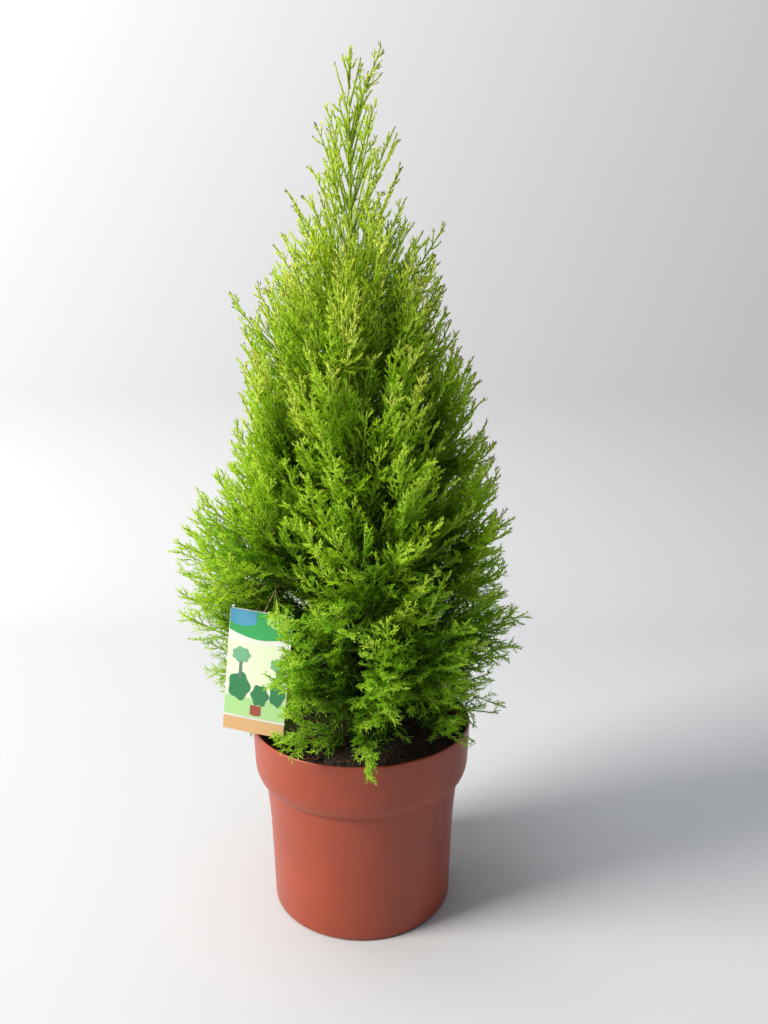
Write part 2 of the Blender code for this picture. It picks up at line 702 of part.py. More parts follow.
def label_places():
    """Where the strap runs and where its loop holds the stem."""
    holder = next(block for block in blocks() if block.name == LABEL_HOLDER)
    stem = holder.point(0.0, holder.middle, LOOP_REACH)
    nearby = holder.point(0.0, holder.middle, LOOP_REACH + 0.03)
    along = (nearby - stem) / np.linalg.norm(nearby - stem)
    top = np.array(CARD_TOP)
    down = top - stem
    down -= along * (down @ along)
    down /= np.linalg.norm(down)
    centre = stem + down * (LOOP_RADIUS - STRAP_RADIUS - STEM_RADIUS - GAP)
    start = centre + down * LOOP_RADIUS
    return (start, top), centre, along, down


def make_label():
    """A blank card with rounded corners, its strap, and a loop round the stem."""
    (start, top), centre, along, down = label_places()
    across, card_down, back = card_axes()
    corners = []
    steps = 4
    for cx, cy, base in ((1, 0, 90), (1, 1, 0), (-1, 1, -90), (-1, 0, 180)):
        for k in range(steps):
            angle = math.radians(base - 90 * k / (steps - 1))
            u = cx * (CARD_WIDTH / 2 - CARD_CORNER) + CARD_CORNER * math.cos(angle)
            v = (CARD_HEIGHT - CARD_CORNER if cy else CARD_CORNER) - CARD_CORNER * math.sin(angle)
            corners.append(np.array(CARD_TOP) + across * u + card_down * v)
    count = len(corners)
    thick = back * CARD_THICKNESS / 2
    verts = [corner - thick for corner in corners] + [corner + thick for corner in corners]
    faces = [tuple(range(count)), tuple(range(count, 2 * count))[::-1]]
    faces += [(k, count + k, count + (k + 1) % count, (k + 1) % count) for k in range(count)]
    end = top + card_down * 0.006
    strap = tube(np.linspace(start - down * 0.0002, end, 2), [STRAP_RADIUS] * 2, 5)
    ring = ring_shape(centre, down, np.cross(along, down), LOOP_RADIUS, STRAP_RADIUS)
    card = material("plant_label_card", (0.80, 0.82, 0.80), 0.35)
    fuse("plant_tag", [(np.array(verts), faces), strap, ring], card)


def ring_shape(centre, axis_u, axis_v, radius, thickness, around=10, sides=5):
    """A torus in the plane of two directions."""
    axis_w = np.cross(axis_u, axis_v)
    verts = []
    faces = []
    for i in range(around):
        a = 2.0 * math.pi * i / around
        spoke = math.cos(a) * axis_u + math.sin(a) * axis_v
        for j in range(sides):
            b = 2.0 * math.pi * j / sides
            verts.append(centre + spoke * (radius + thickness * math.cos(b))
                         + axis_w * thickness * math.sin(b))
            n = (i + 1) % around
            m = (j + 1) % sides
            faces.append((i * sides + j, n * sides + j, n * sides + m, i * sides + m))
    return np.array(verts), faces


def main():
    """Clear the scene and build every piece."""
    for existing in list(bpy.data.objects):
        bpy.data.objects.remove(existing)
    bark = material("cypress_bark", (0.155, 0.075, 0.040), 0.85)
    greens = {
        "skirt": (0.115, 0.235, 0.020), "low": (0.100, 0.215, 0.018),
        "broad": (0.130, 0.270, 0.020), "mid": (0.150, 0.300, 0.024),
        "high": (0.170, 0.330, 0.028), "upper": (0.200, 0.370, 0.034),
        "top": (0.230, 0.400, 0.040), "leader": (0.260, 0.430, 0.050),
    }
    foliage = {tier: material("foliage_" + tier, colour, 0.6) for tier, colour in greens.items()}
    make_pot()
    make_soil()
    make_trunk(bark)
    make_label()
    sleeve = add_object("trunk_sleeve", *tube(*trunk_path(GAP), TRUNK_SIDES))
    sleeve.hide_render = True
    sleeve.display_type = "WIRE"
    (strap, centre, _, _) = label_places()
    label = (strap, centre)
    rng = np.random.default_rng(SEED)
    for block in blocks():
        if block.has_bough:
            make_bough(block, bark, sleeve)
        cut = None if block.has_bough or block.tier == "leader" else sleeve
        fuse("mass_" + block.name, mass_pieces(block, label, rng), foliage[block.tier], cut)
    bpy.data.objects.remove(sleeve)


if __name__ == "__main__":
    main()
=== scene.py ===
"""Lemon cypress in a plastic nursery pot: the looks of every piece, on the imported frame.

The plant is grown in the same coordinates as its solids: a height z0 on the trunk names one
curved sheet of boughs, an azimuth a direction round the trunk, and a share runs from the trunk
(0) to the crown's outline (1). Sprays fill each mass's block, and carry two finer orders of
shoots, the twigs and twiglets, and their needles. Lengths are in metres.
"""

import math
from collections import namedtuple

import bpy
import numpy as np
from bpy.props import FloatProperty, FloatVectorProperty, IntProperty, PointerProperty
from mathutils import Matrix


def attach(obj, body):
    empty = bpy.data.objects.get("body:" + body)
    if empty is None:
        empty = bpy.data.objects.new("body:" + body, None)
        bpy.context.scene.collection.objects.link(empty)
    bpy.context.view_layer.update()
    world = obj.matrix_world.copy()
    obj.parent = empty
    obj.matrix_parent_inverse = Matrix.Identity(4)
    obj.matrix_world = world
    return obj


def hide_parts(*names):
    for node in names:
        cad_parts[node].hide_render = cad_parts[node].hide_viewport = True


bl_info = {
    "name": "Potted lemon cypress",
    "version": (1, 0, 0),
    "blender": (4, 5, 0),
    "location": "3D View > Sidebar > Cypress",
    "description": "Builds a potted lemon cypress piece by piece",
    "category": "Add Mesh",
}

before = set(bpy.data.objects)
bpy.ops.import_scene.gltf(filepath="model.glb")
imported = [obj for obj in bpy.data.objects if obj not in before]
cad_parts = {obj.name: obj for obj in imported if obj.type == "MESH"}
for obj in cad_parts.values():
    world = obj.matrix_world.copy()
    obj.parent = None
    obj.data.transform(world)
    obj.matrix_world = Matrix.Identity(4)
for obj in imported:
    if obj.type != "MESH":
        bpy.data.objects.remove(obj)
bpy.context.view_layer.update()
MASSES = [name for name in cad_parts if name.startswith("mass_")]

# Pot: its height and rim as in the solids, and a finer outline of its collar, body and foot
POT_HEIGHT = 0.181
RIM_RADIUS = 0.105
COLLAR_RADIUS = 0.1035
COLLAR_BOTTOM = 0.1450
SHOULDER_RADIUS = 0.0942
SHOULDER_HEIGHT = 0.1257
WAIST_RADIUS = 0.0899
WAIST_HEIGHT = 0.088
WAIST_BLEND = 0.008
BASE_RADIUS = 0.0869
FLOOR_TOP = 0.003
LIP = 0.0011
FOOT_EDGE = ((0.025, 0.0), (0.0032, 0.0), (0.0012, 0.0006), (0.0, 0.0022))

# Pot's turned profile: where its slopes start and stop beside the bends, outside and inside
FOOT_TOP = 0.004
BEND_SPARE = 0.001
SHOULDER_POWER = 1.3
COLLAR_START = 0.0025
COLLAR_STOP = 0.0045
FLARE_STOP = 0.002
INNER_LIP = 0.0004
INNER_TOP = 0.004
INNER_FILLET = (0.002, 0.0005)

# Soil: its level at the trunk, its surface away from the mound there, and its space in the pot
SOIL_LEVEL = 0.165
SOIL_SURFACE = SOIL_LEVEL - 0.003
SOIL_EDGE = 0.1015
SOIL_INSET = 0.0025
SOIL_RINGS = 96
SOIL_SEGMENTS = 240
SOIL_BOTTOM = 0.0035
MOUND_HEIGHT = 0.0028
MOUND_RADIUS = 0.030
CHIPS_REACH = 0.099
# Lumps to the metre
COARSE_LUMPS = 90.0
FINE_LUMPS = 330.0

# Limbs, as in the solids
TRUNK_TOP = 0.700
TRUNK_FOOT = 0.0082
TRUNK_TIP = 0.0012
TRUNK_TAPER = 1.25
FLARE = 0.0045
FLARE_HEIGHT = 0.012
LEAN = -0.0076
LEAN_START = 0.165
LEAN_END = 0.470
STEM_RADIUS = 0.0021
BOUGH_ROOT = 0.42
BOUGH_REACH = 0.22
BOUGH_END = 0.62
BOUGH_TIP = 0.0009
GAP = 0.0003
# Ridges and cracks of the bark, round a limb and to the metre along it; limbs thinner than this
# lose them; heights between which the trunk turns green
RIDGES_ROUND = 14
RIDGES_ALONG = 110.0
CRACKS_ROUND = 26
CRACKS_ALONG = 320.0
THIN_LIMB = 0.004
YOUNG_BARK = (0.56, 0.65)

# Crown's outline and the rise of its boughs, as in the solids
CROWN_TOP = 0.785
OUTLINE_HEIGHTS = (0.145, 0.165, 0.175, 0.190, 0.220, 0.250, 0.280, 0.330, 0.370, 0.400, 0.430,
                   0.460, 0.507, 0.540, 0.580, 0.600, 0.620, 0.640, 0.660, 0.680, 0.710, 0.730,
                   0.757, 0.775, CROWN_TOP)
OUTLINE_LEFT = (0.112, 0.118, 0.122, 0.136, 0.141, 0.148, 0.161, 0.166, 0.163, 0.136, 0.116,
                0.105, 0.104, 0.096, 0.080, 0.073, 0.071, 0.054, 0.042, 0.038, 0.032, 0.027,
                0.013, 0.005, 0.002)
OUTLINE_RIGHT = (0.112, 0.118, 0.124, 0.133, 0.130, 0.146, 0.152, 0.143, 0.148, 0.145, 0.134,
                 0.124, 0.116, 0.090, 0.083, 0.081, 0.076, 0.056, 0.047, 0.044, 0.041, 0.030,
                 0.018, 0.006, 0.002)
RISE_HEIGHTS = (0.165, 0.190, 0.215, 0.255, 0.300, 0.360, 0.420, 0.500, 0.580, 0.650, 0.785)
RISE_DEGREES = (-8.0, 4.0, 12.0, 23.0, 34.0, 45.0, 52.0, 58.0, 63.0, 68.0, 80.0)
DROOP = 1.5
DROOP_END = 0.415
REACH_START = 0.002
REACH_END = 0.185

# Tiers of masses: lowest and highest origin, share of that span where the stems start, number
# of masses, azimuth of the first in degrees, sprays a mass here, whether a bough carries it
Tier = namedtuple("Tier", "name low high stem masses first sprays has_bough")
TIERS = (
    Tier("skirt", 0.165, 0.215, 0.56, 5, -90.0, 24, True),
    Tier("low", 0.215, 0.255, 0.50, 5, -54.0, 38, True),
    Tier("broad", 0.255, 0.330, 0.50, 5, 0.0, 48, True),
    Tier("mid", 0.330, 0.410, 0.45, 4, 20.0, 46, True),
    Tier("high", 0.410, 0.490, 0.45, 4, 80.0, 38, False),
    Tier("upper", 0.490, 0.580, 0.40, 3, 50.0, 27, False),
    Tier("top", 0.580, 0.700, 0.35, 3, 0.0, 8, False),
    Tier("leader", 0.700, 0.785, 0.0, 1, 0.0, 8, False),
)

# How sprays fill a mass's block: two irrational turns, and the part of the block that they span
TURN_ACROSS = 0.7549
TURN_LEVEL = 0.5698
BLOCK_ACROSS = 0.96
BLOCK_LOW = -0.04
BLOCK_SPAN = 1.08
HIGHEST_ORIGIN = 0.755

# How far sprays reach, as shares of the outline: by turns and by chance, and for outliers at the
# two sides, where the cosine of the azimuth is past this
MIDDLE_SHARE = 0.985
SPRAY_SHARES = (0.98, 0.66, 0.98, 0.88, 0.95, 0.78)
SPRAY_CHANCE = (0.94, 1.02)
OUTLIERS = 0.25
OUTLIER_SHARE = 1.05
SIDEWAYS = 0.75

# Where sprays start: tiers in which all start on the trunk, and for the others the least share
# past the stem's own, the least of all and the length that is free of the stem
TRUNK_TIERS = ("upper", "top", "leader")
STEM_START = 0.06
LEAST_START = 0.16
FREE_LENGTH = (0.36, 0.56)

# How sprays run: powers of the fan and of the way out, points of the polyline, fewest of them
# that may be left at the card, first of them that are not tested against the pot
FAN = 2.2
FORWARD = 1.15
SPRAY_POINTS = 11
FEWEST_POINTS = 7
UNTESTED_POINTS = 4

# Furthest tips, one by one, with their highest origin and the share at which they start
DROOPING_SHOOT = (0.010, -0.117, 0.180)
LONG_SHOOTS = (
    (-0.108, -0.066, 0.350), (-0.082, -0.092, 0.350), (-0.094, -0.080, 0.376),
    (-0.059, -0.010, 0.662), (0.075, 0.000, 0.638), (-0.113, -0.008, 0.579),
    (-0.171, -0.015, 0.350), (0.155, -0.020, 0.288), (0.133, -0.030, 0.203),
    DROOPING_SHOOT, (0.019, 0.000, 0.781),
)
LONG_SHOOT_ORIGIN = 0.735
LONG_SHOOT_START = 0.05

# Bends of sprays: over the rim, by waves as shares of their length, and upwards at the tip by
# height; points that are left out short of the card
OVER_RIM = 0.026
OUT_OF_RIM = 1.03
WANDER = np.array((0.030, 0.015))
UPTURN = ((0.19, 0.0), (0.24, 0.014), (0.34, 0.020), (0.48, 0.016), (0.60, 0.0))
UPTURN_CHANCE = (0.2, 1.6)
UPTURN_INWARDS = 0.20
SHORT_OF_CARD = 1.2

# Room of the side shoots: share of the outline beyond the spray's own, most in front and at the
# two sides, where the cosine of the azimuth is past this; the furthest tips have no limit
ROOM_BEYOND = 0.035
ROOM_IN_FRONT = 1.02
ROOM_AT_SIDES = 1.07
ROOM_SIDEWAYS = 0.7
NO_LIMIT = 12.0

# Side shoots of a polyline: distance of the first from the tip, number of slots, length at the
# tip, its gain with distance and its limit, spread of the lean, wobble of the turn, points
Shoot = namedtuple("Shoot", "first slots short gain longest spread wobble points")
TWIG = Shoot(first=0.0040, slots=18, short=0.0074, gain=0.42, longest=0.030,
             spread=1.0, wobble=0.60, points=4)
TWIGLET = Shoot(first=0.0026, slots=8, short=0.0030, gain=0.34, longest=0.0095,
                spread=1.25, wobble=0.45, points=3)
# Room that twiglets have beyond their twigs, as a share of the crown's radius
TWIGLET_ROOM = 0.02

# All side shoots: jitter of a slot, roll of the first, share of the lean left at the end and its
# noise, range of sizes, distance from the tip past which they stay smaller, factor and times they
# are drawn in by, bare share of the parent's foot, least share of the shortest length, and share
# of the outline from which fewer and fewer are left out
SLOT_JITTER = 0.22
FIRST_ROLL = 0.8
END_LEAN = 0.55
END_NOISE = 0.08
SIZE_CHANCE = (0.78, 1.14)
OLD_BACK = 0.075
OLD_SIZE = 0.8
DRAW_IN = 0.72
DRAWS = 5
BARE_PARENT = 0.10
LEAST_LENGTH = 0.6
INNER_START = 0.15
INNER_SPAN = 0.35

# Tables by height: degrees for a lean, metres for a length, otherwise shares
SHOOT_LEAN = ((0.18, 46.0), (0.38, 37.0), (0.70, 38.0))
SHOOT_LIFT = ((0.17, -0.06), (0.26, 0.10), (0.40, 0.28))
SHOOT_SIZE = ((0.42, 1.0), (0.56, 0.84))
SHOOT_CHANCE = ((0.52, 1.0), (0.62, 0.82), (0.785, 0.75))
INNER_CHANCE = ((0.30, 0.6), (0.45, 0.3))
NEEDLE_LENGTH = ((0.15, 0.0036), (0.35, 0.0030), (0.55, 0.0026))
NEEDLE_HALF_WIDTH = ((0.15, 0.00050), (0.45, 0.00068))
NEEDLE_LEAN = ((0.15, 50.0), (0.35, 36.0), (0.55, 22.0))
CORE_HALF_WIDTH = ((0.20, 0.00035), (0.50, 0.00080))
# Tone of the innermost needles and its gain towards the outline: the darker inside is painted shade
TONE_INSIDE = ((0.20, -0.04), (0.40, 0.16), (0.65, 0.30))
TONE_OUTWARDS = ((0.20, 0.72), (0.65, 0.50))
MID_SERIES = ((0.24, 0.0), (0.42, 1.0))
HIGH_SERIES = ((0.44, 0.0), (0.66, 1.0))
# Olive tips, both browned buds and painted shade of backlit tips: their length at a tip and their
# chance
BUD_AND_SHADE_LENGTH = ((0.20, 0.0010), (0.40, 0.0018), (0.62, 0.0030))
BUD_AND_SHADE_CHANCE = ((0.45, 0.06), (0.64, 0.9))

# Needles: share of a spray, a twig and a twiglet that stays bare at its foot, and their scale;
# place of the first and length over which they close up at a tip; width and bend of the kite
BARE_FEET = (0.45, 0.12, 0.08)
NEEDLE_SCALES = (1.1, 1.0, 0.95)
GOLDEN_TURN = 2.39996
FIRST_NEEDLE = 0.0004
CLOSING_LENGTH = 0.003
BELLY = 0.38
FOLD = 0.5
TIP_BEND = 0.12

# Height over which a twiglet has a second core across the first, and kites in one piece at most
SECOND_CORE_HEIGHT = 0.34
MOST_KITES = 90000

# Tones of green: how many, where the paler outside starts and over what share it grows, the darker
# inside being painted shade; how much paler a tip is and over what length, how much darker the
# right-hand side in painted shade away from the key light; the share of the outline where olive
# tips start, browned buds and painted shade of backlit tips, and the points where a spray and a
# twig take their colour
TONES = 4
PALE_START = 0.55
PALE_SPAN = 0.42
TIP_TONE = 0.22
TIP_LENGTH = 0.020
TONE_NOISE = 0.06
RIGHT_PAINTED_SHADE = 0.07
RIGHT_SHADE_SPAN = 0.12
BUD_AND_SHADE_SHARE = 0.93
SPRAY_COLOUR_POINT = 8
TWIG_COLOUR_POINT = 2

# Wood of the shoots: height under which a spray's foot is brown, radii at the foot and their taper
WOODY_HEIGHT = 0.46
SPRAY_ROOT = 0.0011
SPRAY_TAPER = 0.00060
TWIG_ROOT = 0.00055
TWIG_TAPER = 0.0002

# Space that shoots leave free at the pot: over its wall, a bowl over the soil, a cone in front
# that shows the soil, with the drooping spray's strip in it, and the sides below the skirt
WALL_INSIDE = 0.005
WALL_OUTSIDE = 0.002
CLEARANCE = 0.003
BOWL_RISE = 0.022
STRIP_HALF_WIDTH = 0.0048
STRIP_START = -0.06
FRONT_START = -0.03
FRONT_HALF_WIDTH = 0.088
CONE_FOOT = 0.147
CONE_SLOPE = 0.42
CONE_REACH = 0.112
SIDE_START = 0.108
SIDE_BOTTOM = 0.198
CROWN_BOTTOM = 0.140

# Space that shoots leave free at the card: the direction it is looked at from, its open part in
# widths to the left and heights from top to bottom, the waves of the ragged line on its right as
# (width, waves), and the slab round the card itself
CARD_SIGHT = np.array((0.107, -0.673, 0.269))
OPEN_LEFT = -0.54
OPEN_TOP = -0.04
OPEN_BOTTOM = 1.05
RAGGED_LINE = 0.12
RAGGED_WAVES = ((0.12, 4.5), (0.07, 23.0))
CARD_SLAB = 0.003
CARD_SPARE = 0.002

# Azimuth at which a spray turns aside to the front or to the side of the card, and how far
CARD_AZIMUTH = -2.3
ASIDE_IN_FRONT = -0.35
ASIDE_BEHIND = -0.5

# Label: the card's size, bow and pose, its rings of corners and the step from ink to ink; the
# strap and its loop, and the tier and the mass, counted from 0, whose stem it hangs on
CARD_WIDTH = 0.058
CARD_HEIGHT = 0.115
CARD_THICKNESS = 0.0010
CARD_BOW = 0.0005
CARD_TOP = np.array((-0.0852, -0.0600, 0.3048))
CARD_TILT = math.radians(6.0)
CARD_YAW = math.radians(-11.5)
CARD_RINGS = 4
INK_STEP = 0.00006
STRAP_RADIUS = 0.0009
STRAP_OVERLAP = 0.006
LOOP_RADIUS = 0.0042
LOOP_REACH = 0.48
LOOP_AHEAD = 0.03
HOLDER_TIER = 2
HOLDER_MASS = 3

# Surfaces: shades at the two ends of the noise, size of fine noise against coarse, depth of relief
CLOUD_STOPS = (0.3, 0.7)
FINE_GRAIN = 4.0
RELIEF_DEPTH = 0.0006

# Studio: the camera's place, pitch, and sensor and lens in millimetres; where the lamps point,
# and the wall lamp's share of the key light's power
CAMERA_PLACE = (0.02176, -0.7333, 0.5185)
CAMERA_PITCH = math.radians(90.0 - 10.487)
CAMERA_SENSOR = 36.0
CAMERA_LENS = 28.125
LAMP_TARGET = np.array((0.0, 0.0, 0.35))
WALL_SHARE = 0.10


# ---------------------------------------------------------------- growth coordinates

def unit(vectors):
    """Vectors at length 1."""
    return vectors / np.maximum(np.linalg.norm(vectors, axis=-1, keepdims=True), 1e-12)


def by_height(z, table):
    """Value at a height from (height, value) pairs, straight between them."""
    return np.interp(z, *zip(*table))


def trunk_x(z):
    """Sideways place of the trunk: a smooth step from 0 to the lean."""
    u = np.clip((np.asarray(z, float) - LEAN_START) / (LEAN_END - LEAN_START), 0.0, 1.0)
    return LEAN * u * u * (3.0 - 2.0 * u)


def trunk_radius(z):
    """Taper to the tip by a power law, with a flare that dies out above the soil."""
    z = np.asarray(z, float)
    u = np.clip((TRUNK_TOP - z) / (TRUNK_TOP - SOIL_LEVEL), 0.0, 1.0)
    flare = FLARE * np.exp(-(z - SOIL_LEVEL) / FLARE_HEIGHT)
    return TRUNK_TIP + (TRUNK_FOOT - TRUNK_TIP) * u ** TRUNK_TAPER + flare


def outline_radius(z, azimuth):
    """Crown radius at a height, blended round from the left side's to the right side's."""
    left = np.interp(z, OUTLINE_HEIGHTS, OUTLINE_LEFT)
    right = np.interp(z, OUTLINE_HEIGHTS, OUTLINE_RIGHT)
    return left + (right - left) * (0.5 + 0.5 * np.cos(azimuth))


def bough_height(radius, z0):
    """Height of the bough sheet from z0: a straight rise less a parabola of droop."""
    rise = np.tan(np.radians(np.interp(z0, RISE_HEIGHTS, RISE_DEGREES)))
    droop = DROOP * np.clip((DROOP_END - z0) / (DROOP_END - SOIL_LEVEL), 0.0, 1.0)
    return z0 + rise * radius - droop * radius ** 2


def reach(z0, azimuth):
    """Distance at which the bough sheet from z0 leaves the crown's outline, by small steps."""
    steps = np.linspace(REACH_START, REACH_END, 90)
    z0 = np.asarray(z0, float)[..., None]
    azimuth = np.asarray(azimuth, float)[..., None]
    inside = steps < outline_radius(bough_height(steps, z0), azimuth)
    count = np.cumprod(inside, axis=-1).sum(axis=-1)
    return REACH_START + count * (steps[1] - steps[0])


def grown(z0, azimuth, share):
    """World points of growth coordinates, as an array of rows."""
    radius = share * reach(z0, azimuth)
    z = bough_height(radius, z0)
    return np.stack((trunk_x(z) + radius * np.cos(azimuth), radius * np.sin(azimuth), z), axis=-1)


def origin_of(point):
    """Growth coordinates (z0, azimuth, share) of one world point, by a search over heights."""
    dx = point[0] - float(trunk_x(point[2]))
    radius = math.hypot(dx, point[1])
    azimuth = math.atan2(point[1], dx)
    ladder = np.linspace(0.08, CROWN_TOP, 1500)
    z0 = float(ladder[np.argmin(np.abs(bough_height(radius, ladder) - point[2]))])
    return z0, azimuth, radius / float(reach(z0, azimuth))


def crown_share(points):
    """Distance from the trunk as a share of the crown's radius at that height."""
    dx = points[..., 0] - trunk_x(points[..., 2])
    away = np.hypot(dx, points[..., 1])
    return away / outline_radius(points[..., 2], np.arctan2(points[..., 1], dx))


def stem_height(tier):
    """Height on the trunk where the stems of a tier start."""
    return tier.low + tier.stem * (tier.high - tier.low)


def stem_azimuth(tier, index):
    """Direction of the middle of a tier's mass, counted from 0."""
    return math.radians(tier.first) + 2.0 * math.pi / tier.masses * index


def stem_path(tier, index, share):
    """World points at these shares along a mass's stem."""
    height = np.full(len(share), stem_height(tier))
    return grown(height, np.full(len(share), stem_azimuth(tier, index)), share)


def card_axes():
    """Directions across the card, down it and out of its back."""
    level = np.array((math.cos(CARD_YAW), math.sin(CARD_YAW), 0.0))
    drop = np.array((0.0, 0.0, -1.0))
    across = math.cos(CARD_TILT) * level + math.sin(CARD_TILT) * drop
    down = math.cos(CARD_TILT) * drop - math.sin(CARD_TILT) * level
    return across, down, np.cross(across, down)


def clear_of_pot(points):
    """Which points keep clear of the pot's wall and the soil.

    In front they also keep over a cone that shows the soil, but for one drooping spray's strip,
    and at the sides they end a little above the rim.
    """
    x, y, z = points[..., 0], points[..., 1], points[..., 2]
    radius = np.hypot(x, y)
    over_soil = radius <= RIM_RADIUS - WALL_INSIDE
    over_wall = ~over_soil & (radius < RIM_RADIUS + WALL_OUTSIDE)
    bowl = SOIL_LEVEL + CLEARANCE + BOWL_RISE * (radius / RIM_RADIUS) ** 2
    hit = (over_wall & (z < POT_HEIGHT + CLEARANCE)) | (over_soil & (z < bowl))
    strip = (np.abs(x - DROOPING_SHOOT[0]) < STRIP_HALF_WIDTH) & (y < STRIP_START)
    front = (y < FRONT_START) & (np.abs(x) < FRONT_HALF_WIDTH) & ~strip
    hit |= front & (z < CONE_FOOT + CONE_SLOPE * np.minimum(radius, CONE_REACH))
    hit |= (np.abs(x) > SIDE_START) & (z < SIDE_BOTTOM)
    return ~hit & (z > CROWN_BOTTOM)


def clear_of_card(points):
    """Which points keep clear of the card and of the space in front of its open part.

    A point is carried along the direction the card is looked at from into the card's plane. In
    front, only the card's right-hand edge may be crossed, up to a ragged line of two sine waves;
    within the slab round the card, none of it.
    """
    across, down, back = card_axes()
    sight = unit(CARD_SIGHT)
    offset = points - CARD_TOP
    depth = (offset @ back) / (sight @ back)
    flat = offset - depth[..., None] * sight
    u = flat @ across / CARD_WIDTH
    v = flat @ down / CARD_HEIGHT
    front = (depth > 0.0) & (u > OPEN_LEFT) & (v > OPEN_TOP) & (v < OPEN_BOTTOM)
    line = RAGGED_LINE
    for width, waves in RAGGED_WAVES:
        line = line - width * np.sin(waves * v)
    front &= u < line
    slab = np.abs(offset @ back) < CARD_SLAB
    slab &= np.abs(offset @ across) < 0.5 * CARD_WIDTH + CARD_SPARE
    slab &= (offset @ down > -CARD_SPARE) & (offset @ down < CARD_HEIGHT + CARD_SPARE)
    return ~(front | slab)


# ---------------------------------------------------------------- shoots

def sample(paths, t):
    """Points and unit tangents at shares t (n, m) along polylines (n, k, 3)."""
    last = paths.shape[1] - 1
    place = np.clip(t, 0.0, 1.0) * last
    index = np.minimum(place.astype(int), last - 1)
    part = (place - index)[..., None]
    low = np.take_along_axis(paths, np.repeat(index[..., None], 3, axis=-1), axis=1)
    high = np.take_along_axis(paths, np.repeat(index[..., None] + 1, 3, axis=-1), axis=1)
    return low + (high - low) * part, unit(high - low)


def lengths_of(paths):
    """Lengths of polylines (n, k, 3)."""
    return np.linalg.norm(np.diff(paths, axis=1), axis=-1).sum(axis=-1)


def across_of(tangent):
    """Two directions square to each tangent, the first one level."""
    out = tangent * np.array((1.0, 1.0, 0.0))
    reference = np.array((0.0, 0.0, 1.0)) - 0.3 * unit(out + 1e-6)
    side = unit(np.cross(reference, tangent))
    return side, np.cross(tangent, side)


def spray_curves(ends):
    """Polylines from rows of start azimuth and height, end azimuth and height, start and end share.

    The azimuth and the height fan out early, the share grows by a power law.
    """
    t = np.linspace(0.0, 1.0, SPRAY_POINTS)
    fan = 1.0 - (1.0 - t) ** FAN
    a0, h0, a1, h1, c0, c1 = (column[:, None] for column in ends.T)
    azimuth = a0 + (a1 - a0) * fan
    height = h0 + (h1 - h0) * fan
    share = c0 + (c1 - c0) * t ** FORWARD
    return grown(height, azimuth, share), t


def block_sprays(rng):
    """Rows for the sprays that fill the blocks, as spray_curves takes them.

    Ends are spread over each block by steps of two irrational turns, as in the solids. A spray
    leaves the block's stem and fans out to its own height and azimuth; every second one, and
    each one of the topmost tiers, starts on the trunk itself at its own height. Some at the
    crown's two sides reach a little further.
    """
    ends = []
    for tier in TIERS:
        half = math.pi / tier.masses
        middle = stem_height(tier)
        base = BOUGH_REACH if tier.has_bough else 0.0
        for index in range(tier.masses):
            azimuth = stem_azimuth(tier, index)
            ends.append((azimuth, middle, azimuth, middle, base, MIDDLE_SHARE))
            for step in range(1, tier.sprays + 1):
                across = BLOCK_ACROSS * (2.0 * ((step * TURN_ACROSS) % 1.0) - 1.0)
                level = BLOCK_LOW + BLOCK_SPAN * ((step * TURN_LEVEL) % 1.0)
                height = min(tier.low + level * (tier.high - tier.low), HIGHEST_ORIGIN)
                turn = azimuth + across * half
                far = SPRAY_SHARES[step % len(SPRAY_SHARES)] * rng.uniform(*SPRAY_CHANCE)
                if rng.random() < OUTLIERS and abs(math.cos(turn)) > SIDEWAYS:
                    far *= OUTLIER_SHARE
                if tier.name in TRUNK_TIERS or step % 2:
                    ends.append((turn, height, turn, height, 0.0, far))
                else:
                    start = max(base + STEM_START, LEAST_START, far - rng.uniform(*FREE_LENGTH))
                    ends.append((azimuth, middle, turn, height, start, far))
    return ends


def long_sprays():
    """Rows for the furthest tips, which are set one by one."""
    ends = []
    for tip in LONG_SHOOTS:
        z0, azimuth, far = origin_of(tip)
        ends.append((azimuth, min(z0, LONG_SHOOT_ORIGIN), azimuth, z0, LONG_SHOOT_START, far))
    return ends


def turned_from_card(ends):
    """Rows whose sprays would meet the card, with their ends turned towards front or side."""
    hit = ~clear_of_card(spray_curves(ends)[0]).all(axis=1)
    turn = (ends[hit, 2] + math.pi) % (2.0 * math.pi) - math.pi
    front, side = ASIDE_IN_FRONT * (turn + 0.5 * math.pi), ASIDE_BEHIND * (turn + math.pi)
    ends[hit, 2] += np.where(turn > CARD_AZIMUTH, front, side)
    return ends


def hang_over_rim(paths, t):
    """Lays sprays that end low outside the rim over it, as parabolas.

    The curve is (1 - t)^2 start + 2 t (1 - t) over + t^2 tip, with the point `over` above the
    rim, just outside the tip. Only long shoots may end under the rim.
    """
    hangs = (paths[:, -1, 2] < POT_HEIGHT) & (np.hypot(*paths[:, -1, :2].T) > RIM_RADIUS)
    start, tip = paths[hangs][:, :1], paths[hangs][:, -1:]
    lowest = np.where(np.nonzero(hangs)[0] < len(paths) - len(LONG_SHOOTS), POT_HEIGHT, 0.0)
    tip[:, 0, 2] = np.maximum(tip[:, 0, 2], lowest)
    over = tip * np.array((OUT_OF_RIM, OUT_OF_RIM, 0.0))
    over += np.array((0.0, 0.0, POT_HEIGHT + OVER_RIM))
    s = t[None, :, None]
    paths[hangs] = (1.0 - s) ** 2 * start + 2.0 * s * (1.0 - s) * over + s ** 2 * tip


